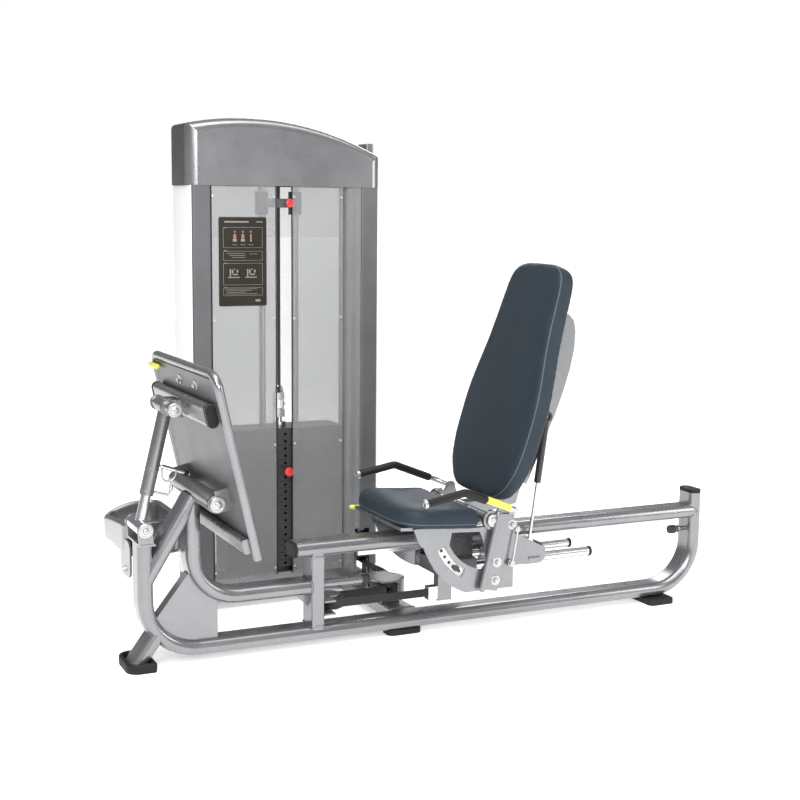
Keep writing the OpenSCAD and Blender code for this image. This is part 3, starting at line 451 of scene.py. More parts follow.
def weld_bead(points, r=2.6, closed=True):
    """Rippled bead along a closed line of points."""
    count = len(points)

    def section(k):
        wide = r * (1.0 + 0.16 * sin(k * 2.1) + 0.1 * noise(points[k] * 0.21))
        return circle(wide, 8)

    ups = [V(0.31, 0.42, 0.85)] * count
    return sweep(points, section, ups, closed)


def resample(points, step, closed=False):
    pts = list(points) + ([points[0]] if closed else [])
    out, carry = [], 0.0
    for a, b in zip(pts, pts[1:]):
        length = (b - a).length
        while carry < length:
            out.append(a.lerp(b, carry / length))
            carry += step
        carry -= length
    if not closed:
        out.append(pts[-1])
    return out


# ---- Upholstery ----

PAD_VOXEL, CLOTH_FRAMES, PAD_PRESSURE, PAD_CAP = 0.006, 18, 3.0, 3.5


def outline_curve(points, steps=10):
    """Closed Catmull-Rom curve through points."""
    out, n = [], len(points)
    for k in range(n):
        p0, p1, p2, p3 = (Vector(points[(k + j - 1) % n]) for j in range(4))
        for s in range(steps):
            t = s / steps
            out.append(0.5 * ((2 * p1) + (p2 - p0) * t + (2 * p0 - 5 * p1 + 4 * p2 - p3) * t * t
                              + (3 * p1 - p0 - 3 * p2 + p3) * t ** 3))
    return out


def inset_outline(points, d):
    """Moves each outline point inwards by d, along the outline's own normal."""
    n, out = len(points), []
    area = sum(points[k][0] * points[(k + 1) % n][1] - points[(k + 1) % n][0] * points[k][1] for k in range(n))
    sign = 1 if area > 0 else -1
    for k in range(n):
        t = (Vector(points[(k + 1) % n]) - Vector(points[k - 1])).normalized()
        out.append(Vector(points[k]) + Vector((-t.y, t.x)) * d * sign)
    return out


def pad_mesh(outline, thick, edge, crown, crown_at=None, rows=14):
    """Upholstered pad: flat base, upright border, rolled top edge, crowned top. Base at z = 0."""
    bm = bmesh.new()
    centre = sum((Vector(p) for p in outline), Vector((0, 0))) / len(outline)
    rings = []

    def ring(points, heights):
        rings.append([bm.verts.new((p[0], p[1], h)) for p, h in zip(points, heights)])

    n = len(outline)
    for s in (0.02, 0.3, 0.6, 0.85):
        ring([centre + (Vector(p) - centre) * s for p in outline], [0.0] * n)
    ring(inset_outline(outline, 3.5), [0.0] * n)
    ring(inset_outline(outline, 0.8), [1.2] * n)
    ring(outline, [5.0] * n)
    for k in range(1, 5):
        bulge = sin(pi * k / 5) * 1.6
        ring(inset_outline(outline, -bulge), [5.0 + (thick - edge - 5.0) * k / 5] * n)
    for k in range(0, 7):
        a = radians(90 * k / 6)
        ring(inset_outline(outline, edge * (1 - cos(a))), [thick - edge + edge * sin(a)] * n)
    inner = inset_outline(outline, edge)
    for k in range(1, rows + 1):
        s = 1 - k / rows * 0.985
        points = [centre + (Vector(p) - centre) * s for p in inner]
        heights = [thick + crown * (1 - s * s) + (crown_at(p) * (1 - s ** 6) if crown_at else 0.0) for p in points]
        ring(points, heights)
    return skin(bm, rings)


def swell(obj, pressure, cap):
    """Fills the pad with cloth under pressure, applies it, and keeps each point within cap of where it began."""
    bpy.context.view_layer.objects.active = obj
    remesh = obj.modifiers.new("remesh", "REMESH")
    remesh.mode, remesh.voxel_size, remesh.use_smooth_shade = "VOXEL", PAD_VOXEL, True
    bpy.ops.object.modifier_apply(modifier=remesh.name)
    start = [v.co.copy() for v in obj.data.vertices]
    cloth = obj.modifiers.new("cloth", "CLOTH")
    cloth.settings.quality = 4
    cloth.settings.mass = 0.35
    cloth.settings.tension_stiffness = 12
    cloth.settings.compression_stiffness = 12
    cloth.settings.bending_stiffness = 0.6
    cloth.settings.use_pressure = True
    cloth.settings.uniform_pressure_force = pressure
    cloth.settings.effector_weights.gravity = 0.0
    cloth.collision_settings.use_self_collision = False
    cloth.point_cache.frame_start, cloth.point_cache.frame_end = 1, CLOTH_FRAMES
    for f in range(1, CLOTH_FRAMES + 1):
        SCENE.frame_set(f)
    evaluated = obj.evaluated_get(bpy.context.evaluated_depsgraph_get())
    moved = [v.co.copy() for v in evaluated.data.vertices]
    obj.modifiers.remove(cloth)
    SCENE.frame_set(1)
    for v, a, b in zip(obj.data.vertices, start, moved):
        step = b - a
        if step.length > cap * MM:
            step *= cap * MM / step.length
        v.co = a + step
    relax = obj.modifiers.new("relax", "SMOOTH")
    relax.factor, relax.iterations = 0.5, 3
    bpy.ops.object.modifier_apply(modifier=relax.name)
    fine = obj.modifiers.new("fine", "SUBSURF")
    fine.levels = fine.render_levels = 1
    bpy.ops.object.modifier_apply(modifier=fine.name)
    for polygon in obj.data.polygons:
        polygon.use_smooth = True


def pad(name, outline, thick, edge, crown, at, body, replaces, crown_at=None):
    bm = pad_mesh(inset_outline(outline, 2.0), thick - 3.0, edge, crown, crown_at)
    obj = make(name, bm, "upholstery", None, at)
    swell(obj, PAD_PRESSURE, PAD_CAP)
    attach(obj, body)
    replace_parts(obj, replaces)
    return obj


def mirrored(points):
    """Closed outline, symmetric in the second coordinate, from its half with positive y."""
    return points + [(x, -y) for x, y in reversed(points) if abs(y) > 1e-6]


seat_outline = outline_curve(mirrored([
    (-7, 0), (-6, 60), (-4, 105), (6, 150), (28, 180), (62, 195), (120, 199), (190, 199), (236, 196), (247, 188),
    (249.5, 160), (250, 80), (250, 30)]), 6)


def seat_roll(p):
    """The seat rises into a soft roll along its front edge."""
    t = max(0.0, 1.0 - abs(p[0] - 42.0) / 95.0)
    dip = math.exp(-((p[0] - 165.0) / 60.0) ** 2)
    return 8.0 * t * t * (3 - 2 * t) - 3.0 * dip * math.exp(-(p[1] / 120.0) ** 2)


seat_cushion = pad("seat_cushion", seat_outline, 54.0, 15.0, 2.5, ON_SEAT, "carriage", "seat_pad",
                   seat_roll)

back_outline = outline_curve(mirrored([
    (0, 0), (1, 62), (5, 108), (16, 140), (34, 164), (60, 186), (98, 205), (158, 219), (250, 223), (330, 217),
            (400, 203),
    (470, 186), (540, 175), (605, 168), (660, 161), (700, 147), (722, 122), (734, 84), (738, 40)]), 6)
BACK_PAD = ON_BACK @ moved_by(67, 0, 50) @ turn(-90)
back_cushion = pad("back_cushion", back_outline, 55.0, 9.0, 5.0, BACK_PAD, "backrest", "back_pad")


def seam(name, cushion, outline, height, at, body, r=1.1):
    """Stitched seam cord laid on the nearest points of a finished pad's surface; its pale colour is a painted
    highlight along the pad's edge fold.
    """
    surface = bmesh.new()
    surface.from_mesh(cushion.data)
    tree = BVHTree.FromBMesh(surface)
    surface.free()
    to_pad = TO_ROW @ at
    from_pad = to_pad.inverted()
    line = [from_pad @ tree.find_nearest(to_pad @ p)[0]
            for p in resample([V(p[0], p[1], height) for p in outline], 4.0, closed=True)]
    ups = [V(0, 0, 1)] * len(line)
    cord = sweep(line, lambda k: circle(r * (1.0 + 0.12 * sin(k * 1.7)), 8), ups, closed=True)
    return make(name, cord, "seam_highlight", body, at, sharp=60)


seam("seat_seam", seat_cushion, inset_outline(seat_outline, 0.2), 12.0, ON_SEAT, "carriage")
seam("back_seam", back_cushion, inset_outline(back_outline, 3.6), 49.6, BACK_PAD, "backrest", 1.3)

# ---- Handles ----

MID_FOOT_W = 60.0
TIP, BEND, ROOT = V(743, 0, 442), V(872, 0, 466), V(1036, 0, 400)
for side, y in (("near", -240.0), ("far", 240.0)):
    lift = V(0, y, 0)
    end = BEND + (ROOT - BEND).normalized() * (75 if side == "near" else 135)
    start = TIP + (BEND - TIP).normalized() * 8.2
    line = resample(smooth_path([start + lift, BEND + lift, end + lift], 26), 2.0)
    total = len(line) - 1

    def foam_section(k):
        ends = min(k, total - k)
        r = 12.0 - 2.4 * max(0.0, 1 - ends / 2.0) ** 2 + 0.12 * noise(line[k] * 0.11)
        return circle(r, 28)

    grip = make(f"grip_{side}", sweep(line, foam_section, [V(0, 1, 0)] * len(line)), "foam", "carriage", sharp=50)
    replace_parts(grip, "grips")
    cap_at = facing(TIP + lift, TIP - BEND)
    make(f"grip_cap_{side}", turned([(0, -9), (13.0, -9), (13.0, -1.5), (12.2, -0.3), (10.6, 0.4), (6.2, 0.7),
                                     (5.6, -0.6), (0, -0.6)]), "zinc", "carriage", cap_at)

yellow_a, yellow_b = V(943, -240, 437.4), V(1020, -240, 406.4)


def lever_section(k):
    r = 13.2 - 1.6 * max(0.0, 1 - min(k, 38 - k) / 2.0) ** 2
    arc = [radians(-118 + 236 * j / 20) for j in range(21)]
    outer = [(r * sin(a), r * cos(a)) for a in arc]
    inner = [(10.2 * sin(a), 10.2 * cos(a)) for a in reversed(arc)]
    return outer + inner


lever_line = [yellow_a.lerp(yellow_b, k / 38) for k in range(39)]
lever = make("recline_handle", sweep(lever_line, lever_section, [V(0.3, 0, 1)] * 39), "yellow_plastic",
        "recline_lever")
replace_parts(lever, "recline_lever")
make("recline_wire", gather([
    (rod(smooth_path([V(1009, -254, 411), V(1040, -254, 398.5), V(1056, -253.5, 392), V(1067, -253, 386.5)], 14),
            2.8),
     WORLD_MM),
    (turned([(0, 0), (7, 0), (8, 1), (8, 6), (7, 7), (0, 7)], 28), facing(V(1036, -250, 400), NEAR))]),
     "zinc", "recline_lever")

seat_handle = gather([
    (rod(smooth_path([V(790, 178, 334), V(790, 200, 334), V(742, 200, 346)], 10), 4.2), WORLD_MM),
    (turned([(0, -1), (9, -1), (9, 2), (8, 3), (0, 3)], 24), facing(V(790, 176, 334), V(0, 1, 0)))])
seat_lever = make("seat_lever_rod", seat_handle, "zinc", "seat_lever")
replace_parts(seat_lever, "seat_lever")
make("seat_lever_tip", turned([(0, -1), (5.8, 0), (7.2, 2.5), (7.6, 14), (7.2, 34), (6.4, 42), (4.2, 45.6), (0,
        46.6)], 32),
     "yellow_plastic", "seat_lever", facing(V(748, 200, 345), V(-44, 0, 7)))

# ---- Belts ----


def belt_section(w=25.0, t=3.0, ribs=6):
    """Flat belt with longitudinal ribs on its outer face, in (across, thickness)."""
    pts = [(-w / 2, -t / 2)]
    for k in range(ribs):
        left = -w / 2 + w * k / ribs
        step = w / ribs
        pts += [(left + step * 0.18, t / 2), (left + step * 0.7, t / 2), (left + step * 0.86, t / 2 - 1.0)]
    pts.append((w / 2, -t / 2))
    return pts


def belt(name, points, ups, body, replaces=()):
    obj = make(name, sweep(points, belt_section(), ups), "black_belt", body, sharp=30)
    if replaces:
        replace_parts(obj, *replaces)
    return obj


def arc_points(centre, r, a0, a1, put, steps=18):
    return [put(centre[0] + r * cos(radians(a0 + (a1 - a0) * k / steps)),
                centre[1] + r * sin(radians(a0 + (a1 - a0) * k / steps))) for k in range(steps + 1)]


BELT_Z, RISE_X, STACK = 112.0, 847.5, (583.0, 505.0)
flat_xy = lambda x, y: V(x, y, BELT_Z)
LEFT, RIGHT, LIFT_R = (570.0, 40.5), (796.0, 132.5), 46.5
route, outs = [], []


def lay(points, out):
    """Adds a stretch of belt with the outward direction of its ribbed face."""
    for p in points:
        route.append(p)
        outs.append(out(p) if callable(out) else out)


lay(arc_points(LEFT, 40.5, 270, 90, flat_xy), lambda p: (p - V(LEFT[0], LEFT[1], BELT_Z)))
lay([flat_xy(600 + 22 * k, 81) for k in range(9)], V(0, 1, 0))
lay(arc_points(RIGHT, 51.5, -90, 0, flat_xy), lambda p: (p - V(RIGHT[0], RIGHT[1], BELT_Z)))
for k in range(13):
    t = k / 12
    ease = t * t * (3 - 2 * t)
    lay([V(RISE_X, 150 + 270 * t, BELT_Z)], V(cos(ease * pi / 2), 0, -sin(ease * pi / 2)))
LOWER = (458.5, 158.5)
lay(arc_points(LOWER, LIFT_R, -90, 0, lambda y, z: V(RISE_X, y, z)), lambda p: p - V(RISE_X, *LOWER))
for k in range(13):
    t = k / 12
    ease = t * t * (3 - 2 * t)
    lay([V(RISE_X, STACK[1], 200 + 1150 * t)], V(sin(ease * pi / 2), cos(ease * pi / 2), 0))
TOP_Z = 1400.0
rise_c, drop_c = (RISE_X - LIFT_R, TOP_Z), (STACK[0] + LIFT_R, TOP_Z)
top_put = lambda x, z: V(x, STACK[1], z)
lay(arc_points(rise_c, LIFT_R, 0, 90, top_put), lambda p: p - V(rise_c[0], STACK[1], TOP_Z))
lay(arc_points(drop_c, LIFT_R, 90, 180, top_put), lambda p: p - V(drop_c[0], STACK[1], TOP_Z))
belt("drive_belt", route, outs, "frame", ["belt_runs"])

near_line = [V(570 + 302 * k / 40, 0, BELT_Z) for k in range(41)]
near = make("near_strand", sweep(near_line, belt_section(), [V(0, -1, 0)] * 41), "black_belt", None, sharp=30)
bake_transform(near)
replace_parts(near, "near_belt")
lift_line = [V(STACK[0], STACK[1], 1400 - 722 * k / 60) for k in range(61)]
lift_piece = make("lift_strand", sweep(lift_line, belt_section(), [V(-1, 0, 0)] * 61), "black_belt", None,
        sharp=30)
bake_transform(lift_piece)
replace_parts(lift_piece, "lift_belt")

# ---- Tower ----

CAP_X0, CAP_X1, CAP_Z, CAP_Y0, CAP_Y1 = 269.0, 904.0, 1332.0, 430.0, 624.0
ARC_C, ARC_R = (467.0, 577.0), 960.0


def cap_line(inset, corner=16.0, steps=40):
    """Open outline of the cap from its lower left corner over the arc to its lower right corner."""
    x0, x1, r = CAP_X0 + inset, CAP_X1 - inset, ARC_R - inset
    corner = max(corner - inset, 1.0)

    def top(x):
        return ARC_C[1] + math.sqrt(r * r - (x - ARC_C[0]) ** 2)

    pts = [V(x0, 0, CAP_Z), V(x0, 0, (CAP_Z + top(x0)) / 2)]
    for k in range(7):
        a = radians(180 - 90 * k / 6)
        cx = x0 + corner
        pts.append(V(cx + corner * cos(a), 0, top(cx) - corner + corner * sin(a)))
    for k in range(1, steps):
        x = x0 + corner + (x1 - x0 - 2 * corner) * k / steps
        pts.append(V(x, 0, top(x)))
    for k in range(7):
        a = radians(90 - 90 * k / 6)
        cx = x1 - corner
        pts.append(V(cx + corner * cos(a), 0, top(cx) - corner + corner * sin(a)))
    pts += [V(x1, 0, (CAP_Z + top(x1)) / 2), V(x1, 0, CAP_Z)]
    return pts


def shell(layers):
    """Closed shell from open outlines: outer layers first, then the inner ones back."""
    bm = bmesh.new()
    rows = [[bm.verts.new(p) for p in layer] for layer in layers]
    count = len(rows)
    for i in range(count):
        a, b = rows[i], rows[(i + 1) % count]
        for k in range(len(a) - 1):
            bm.faces.new((a[k], a[k + 1], b[k + 1], b[k]))
    bm.faces.new([row[0] for row in rows])
    bm.faces.new([row[-1] for row in reversed(rows)])
    return bm


def at_y(line, y):
    return [V(p.x, y, p.z) for p in line]


FILLET, SEAM_Y = 30.0, 470.0
front_layers = [at_y(cap_line(1.5), SEAM_Y + 6), at_y(cap_line(1.5), SEAM_Y + 1.2), at_y(cap_line(0), SEAM_Y)]
for k in range(0, 8):
    a = radians(90 * k / 7)
    front_layers.append(at_y(cap_line(FILLET * (1 - cos(a))), CAP_Y0 + FILLET - FILLET * sin(a)))
inner_layers = [at_y(cap_line(FILLET + 1), CAP_Y0 + 4), at_y(cap_line(6), CAP_Y0 + FILLET), at_y(cap_line(5),
        SEAM_Y + 6)]
cap_front = shell(front_layers + inner_layers)
face_line = [V(p.x, CAP_Y0, p.z) for p in cap_line(FILLET - 0.5)]
face_bm = bmesh.new()
outer = [face_bm.verts.new(p) for p in face_line]
back = [face_bm.verts.new(p + V(0, 4, 0)) for p in face_line]
face_bm.faces.new(outer)
face_bm.faces.new(list(reversed(back)))
for k in range(len(outer)):
    n = (k + 1) % len(outer)
    face_bm.faces.new((outer[k], back[k], back[n], outer[n]))
make("cap_front", gather([(cap_front, WORLD_MM), (face_bm, WORLD_MM)]), "silver_paint", "frame", sharp=40)
cap_rear = shell([at_y(cap_line(1.2), SEAM_Y + 1.4), at_y(cap_line(0.4), SEAM_Y + 2.2), at_y(cap_line(0.4),
        CAP_Y1 - 12),
                  at_y(cap_line(4), CAP_Y1 - 3.5), at_y(cap_line(12), CAP_Y1), at_y(cap_line(150, 1), CAP_Y1),
                  at_y(cap_line(150, 1), CAP_Y1 - 4), at_y(cap_line(14), CAP_Y1 - 5), at_y(cap_line(6),
                          SEAM_Y + 1.4)])
cap_rear_obj = make("cap_rear", cap_rear, "cap_dark", "frame", sharp=40)
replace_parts(cap_rear_obj, "tower_cap")
rear_panel = [(p.x, p.z) for p in cap_line(13)]
make("cap_back_plate", prism(rear_panel, CAP_Y1 - 4.5, CAP_Y1 - 0.5), "cap_dark", "frame", bevel=1.0)
make("cap_end_box", box((CAP_X1 - 1, 545, 1333), (929, 618, 1477)), "silver_paint", "frame", bevel=5.0,
        segments=4)

mark_plate = prism(round_rect_points(154, 273, 5), 0, 2.6, "z")
placard_at = moved_by(440, 433, 1099.5) @ turn(90, "X")
placard = make("placard_plate", mark_plate, "placard_black", "frame", placard_at, bevel=0.8)
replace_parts(placard, "placard")
marks, figures = [], []


def mark(x, y, w, h, group=marks):
    group.append((prism(round_rect_points(w, h, min(w, h) * 0.3, 3), 2.5, 2.95, "z"), moved_by(x, y, 0)))


mark(-20, 122, 78, 4.4)
mark(54, 122, 20, 3)


def frame_mark(x, y, w, h, t=0.9):
    for dx, dy, fw, fh in ((0, h / 2, w, t), (0, -h / 2, w, t), (w / 2, 0, t, h), (-w / 2, 0, t, h)):
        mark(x + dx, y + dy, fw, fh)


for y, h in ((74, 62), (18, 28), (-38, 66), (-92, 24)):
    frame_mark(0, y, 126, h)
for k in range(3):
    mark(-26 + 26 * k, 78, 5 if k == 2 else 9, 14, figures)
    mark(-26 + 26 * k, 92, 4, 7)
    mark(-26 + 26 * k, 66, 5 if k == 2 else 13, 9)
    mark(-26 + 26 * k, 52, 16, 1.4)
for k in range(3):
    mark(-22 + 4 * k, 25 - 6 * k, 60 - 8 * k, 1.3)
mark(34, 24, 26, 1.3)
for x in (-30, 26):
    for dx, dy, w, h in ((0, -10, 38, 3), (-11, 4, 4, 24), (5, -1, 16, 4), (12, 9, 5, 9), (-4, 8, 5, 12), (2, 15,
            4, 4)):
        mark(x + dx, -38 + dy, w, h)
for k in range(4):
    mark(-6 - (k % 3) * 8, -84 - 5 * k, 104 - (k % 3) * 22, 1.2)
mark(48, -120, 16, 7)
for k in range(4):
    mark(-56, (104, 34, -4, -79)[k], 10, 1.8)
make("placard_marks", gather(marks), "print_pale", "frame", placard_at)
make("placard_figures", gather(figures), "print_warm", "frame", placard_at)

for name, x0, x1 in (("side_left", 275.5, 279.6), ("side_right", 895.4, 899.5)):
    side_panel = prism(round_rect_points(x1 - x0, 188, 1.8, 3), 97, 1331, "z")
    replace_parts(make(f"panel_{name}", side_panel, "side_acrylic", "frame", moved_by((x0 + x1) / 2, 528, 0)),
                "tower_panels")
make("panel_rear", box((341, 618.2, 97), (837, 621.8, 1331)), "rear_acrylic", "frame", bevel=0.8)

screws = []
for x in (345.5, 543.5, 609, 769):
    for z in (120, 520, 920, 1300):
        screws.append((button_bolt(4.2), facing(V(x, 433, z), NEAR)))
make("panel_screws", gather(screws), "zinc", "frame")
trims = []
for x in (340.5, 549.5, 602.5):
    trims.append((prism(round_rect_points(3.4, 5.4, 1.4, 4), 97, 1331, "z"), moved_by(x, 435, 0)))
make("panel_trims", gather(trims), "black_rubber", "frame")

# Selector pin, add-on pin
PIN_Z = 433.0


def knob(r, length):
    return turned([(0, 0), (r * 0.62, 0), (r * 0.66, length * 0.45), (r * 0.8, length * 0.5), (r * 0.97,
            length * 0.56),
                   (r, length * 0.66), (r, length * 0.86), (r * 0.93, length * 0.96), (r * 0.75, length), (0,
                           length)], 48)


for name, body, at, r, length, node, shaft in (
        ("selector", "selector", V(583, 431, PIN_Z), 14.5, 25.0, "selector_pin", 80.0),
        ("addon", "addon_knob", V(591, 431, 1280), 13.0, 14.0, "addon_pin", 52.0)):
    piece = make(f"{name}_knob", knob(r, length), "red_knob", body, facing(at, NEAR))
    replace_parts(piece, node)
    make(f"{name}_shaft", turned([(0, -shaft), (3.4, -shaft), (4.4, -shaft + 2), (4.4, 0.5), (0, 0.5)], 24),
            "chrome", body,
         facing(at, NEAR))

# Carabiner-like link over the stem, with its bolts
link_parts = []
for sx in (-1, 1):
    link_parts.append((hex_bolt(10, washer=False, stud=2), facing(V(583 + sx * 13, 505, 640), V(sx, 0, 0))))
ring_line = [V(583 + 11 * cos(a), 505, 684 + 15 * sin(a)) for a in (2 * pi * k / 40 for k in range(40))]
link_parts.append((sweep(ring_line, circle(3.6, 14), [V(0, 1, 0)] * 40, closed=True), WORLD_MM))
make("stack_link", gather(link_parts), "chrome", "stack")

# ---- Floor contact, caps and stops ----


def domed(outline, thick, dome, lip=0.0, seg=5):
    """Cap that rises along z from a lipped outline to a soft dome."""
    layers = [(0.0, 0.0), (-lip, 0.4), (-lip, thick * 0.5), (0.0, thick * 0.75)]
    layers += [(dome * (1 - cos(radians(90 * k / seg))), thick * 0.75 + thick * 0.25 * sin(radians(90 * k / seg)))
               for k in range(1, seg + 1)]
    bm = bmesh.new()
    rows = []
    for inset, h in layers:
        rows.append([bm.verts.new((p[0], p[1], h)) for p in inset_outline(outline, inset)])
    return skin(bm, rows)


rail_cap = domed(oval_points(TUBE_T, TUBE_W), 9.0, 6.0)
upright_cap = domed(oval_points(TUBE_T, TUBE_W), 12.0, 6.0)
caps = gather([(rail_cap, moved_by(441, 0, 290) @ turn(-90)), (upright_cap, moved_by(1838, 0, 351))])
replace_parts(make("tube_caps", caps, "black_rubber", "frame", sharp=50), "end_caps")

stop = gather([(turned([(0, 0), (14, 0), (14, 129), (0, 129)]), facing(V(525, 0, 177), RIGHT_WAY)),
               (turned([(0, 0), (7, 0), (7, 38), (0, 38)]), facing(V(1780, 0, 228), RIGHT_WAY)),
               (turned([(7, 0), (12, 0), (12, 4), (7, 4), (7, 0)]), facing(V(1789, 0, 228), RIGHT_WAY))])
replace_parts(make("stop_tubes", stop, "silver_paint", "frame"), "travel_stops")
buffer_a = turned([(0, 0), (14.6, 0), (15.4, 2), (15.4, 7), (14.2, 8.4), (14.2, 10.4), (15.4, 12), (15.4, 21),
        (13.6, 24.4),
                   (9, 25), (0, 25)])
buffer_b = turned([(0, 0), (13, 0), (14, 1.6), (14, 7), (12.9, 8.4), (14, 10), (14, 20), (12.4, 22.6), (8, 23),
        (0, 23)])
make("stop_buffers", gather([(buffer_a, facing(V(655, 0, 177), RIGHT_WAY)), (buffer_b,
        facing(V(1780, 0, 228), LEFT_WAY))]),
     "stop_rubber", "frame")

cover = [(domed(oval_points(33, 67), 9.0, 4.0), ON_FOOT @ moved_by(-24, s * 251.5, -106.8)
          @ turn(-90 * s, "X")) for s in (-1, 1)]
make("crossbar_caps", gather(cover), "black_rubber", "foot_plate", sharp=50)
rod_caps = [(turned([(0, -10), (15.6, -10), (15.6, -1), (14.2, 0.4), (0, 0.6)]), facing(V(1413, s * 60, 204),
        RIGHT_WAY))
            for s in (-1, 1)]
make("rod_caps", gather(rod_caps), "black_rubber", "shuttle")
make("strut_lever_tip", turned([(0, 0), (7.4, 0), (7.8, 2), (7.4, 12), (5, 15.6), (0, 16)], 28), "black_rubber",
        "strut_lever",
     ON_STRUT @ facing(V(91, 0, 166.1), V(14, 0, -1.3)))

# ---- Hardware ----


def bolts(name, body, places, maker, mat="zinc"):
    return make(name, gather([(maker(), facing(Vector(p), Vector(d), 0.3)) for p, d in places]), mat, body)


def both(x, y, z):
    return [((x, -y, z), (0, -1, 0)), ((x, y, z), (0, 1, 0))]


bolts("foot_pivot_caps", "foot_plate", both(154, 201, 483), lambda: pivot_cap(21))
bolts("strut_top_caps", "foot_plate", both(72, 90, 725), lambda: pivot_cap(19))
bolts("strut_foot_caps", "frame", both(-8, 71, 398), lambda: pivot_cap(20))
bolts("recline_caps", "backrest", both(994, 190, 364), lambda: pivot_cap(19))
bolts("arm_bolts", "backrest", both(1061, 184, 345) + both(1007, 184, 182) + both(1012, 184, 236),
        lambda: hex_bolt(15, stud=3))
plate_back = ON_FOOT.to_3x3() @ V(-1, 0, 0)
plate_front = -plate_back
bolts("plate_back_bolts", "foot_plate", [(ON_FOOT @ V(-7, y, -46), plate_back) for y in (40, -110)],
      lambda: hex_bolt(14, stud=2))
bolts("plate_front_bolts", "foot_plate", [(ON_FOOT @ V(1, y, z), plate_front) for y in (-250, -110, 40,
        250) for z in (-46, -440)],
      lambda: button_bolt(6.5))
make("foot_tip", turned([(0, 0), (4.6, 0.8), (7.2, 3.4), (8.0, 8), (8.0, 82), (7.2, 86.6), (4.6, 89.2), (0, 90)],
        28),
     "yellow_plastic", "foot_plate", ON_FOOT @ facing(V(-18.5, 300, -27), NEAR))

edges = []
for s in (-1, 1):
    top, foot = V(1010, s * 190, 381), V(958.5, s * 190, 162)
    edges.append((rod(smooth_path([top + V(6, -s * 4, 3), top, foot, foot + V(4, -s * 4, -3)], 6), 8.4, 28),
            WORLD_MM))
make("arm_edges", gather(edges), "silver_paint", "backrest", sharp=60)

link_rod = rod([V(1075, -191, 325), V(1060, -191, 235)], 3.2)
link_eyes = [(turned([(4, -3), (8, -3), (8.6, -2), (8.6, 2), (8, 3), (4, 3), (4, -3)], 24), facing(V(x, -191, z),
        V(0, 1, 0)))
             for x, z in ((1075, 331), (1059, 229))]
make("release_link", gather([(link_rod, WORLD_MM)] + link_eyes), "zinc", "backrest")
bolts("release_pins", "backrest", [((1075, -185, 331), (0, -1, 0)), ((1059, -185, 229), (0, -1, 0))],
        lambda: hex_bolt(11, stud=2))

# Index plate behind the slot in the near side plate, with black discs on it that paint the shade inside its holes
SLOT_R = 177.0
arc = [radians(201 + 42 * k / 28) for k in range(29)]
ring_in = [(994 + (SLOT_R - 20) * cos(a), 364 + (SLOT_R - 20) * sin(a)) for a in arc]
ring_out = [(994 + (SLOT_R + 17) * cos(a), 364 + (SLOT_R + 17) * sin(a)) for a in reversed(arc)]
make("index_plate", prism(ring_in + ring_out, -165.8, -161.8), "index_white", "carriage", bevel=0.6)
# painted shade: flush black discs in place of open holes
hole_shades = []
for k in range(5):
    a = radians(207 + 7.2 * k)
    at = V(994 + SLOT_R * cos(a), -165.9, 364 + SLOT_R * sin(a))
    hole_shades.append((turned([(0, 0.2), (4.2, 0.2), (5.0, 0.0), (5.0, -3), (0, -3)], 24), facing(at, NEAR)))
make("index_hole_shades", gather(hole_shades), "black_nylon", "carriage")
pin_a = radians(228)
pin_at = V(994 + SLOT_R * cos(pin_a), -176, 364 + SLOT_R * sin(pin_a))
make("index_pin", turned([(0, -12), (6, -12), (6, 4), (9, 5), (9, 12), (8, 13), (0, 13)], 28), "black_nylon",
        "backrest",
     facing(pin_at, NEAR))

# ---- Welds ----


def rect_line(at, w, d, r, step=3.0):
    return resample([at @ V(x, y, 0) for x, y in round_rect_points(w, d, r)], step, closed=True)


def ring_at(at, r, step=3.0):
    count = max(int(2 * pi * r / step), 12)
    return [at @ V(r * cos(2 * pi * k / count), r * sin(2 * pi * k / count), 0) for k in range(count)]


def coped(at, radius_fn, t=TUBE_T + 1, w=TUBE_W + 1):
    """Weld line where an oval tube along the frame's z meets a surface given by radius_fn(x, y)."""
    pts = [(x, y) for x, y in oval_points(t, w, 20)]
    return resample([at @ V(x, y, radius_fn(x, y)) for x, y in pts], 3.0, closed=True)


def flat_oval_drop(y):
    """Depth by which a flat-oval tube's face falls away at a distance y from its middle."""
    edge = (TUBE_W - TUBE_T) / 2
    over = max(0.0, abs(y) - edge)
    return TUBE_T / 2 - math.sqrt(max((TUBE_T / 2) ** 2 - over * over, 0.0))


beads = [
    weld_bead(coped(moved_by(1838 - 21.5, 0, 290) @ turn(90), lambda x, y: flat_oval_drop(y) + 0.3)),
    weld_bead(rect_line(moved_by(505, 0, 268.6), 41, 81, 8)),
    weld_bead(rect_line(moved_by(505, 0, 62.4), 41, 81, 8)),
    weld_bead(coped(moved_by(485, 0, 178) @ turn(90), lambda x, y: -0.4)),
    weld_bead(rect_line(moved_by(812, 43.5, 40.5) @ turn(-90, "X"), 80.6, 40.6, 6)),
    weld_bead(ring_at(facing(V(525.4, 0, 177), RIGHT_WAY), 14.8), 2.0),
]
make("frame_welds", gather([(b, WORLD_MM) for b in beads]), "weld", "frame", sharp=80)

# ---- Rubber feet ----


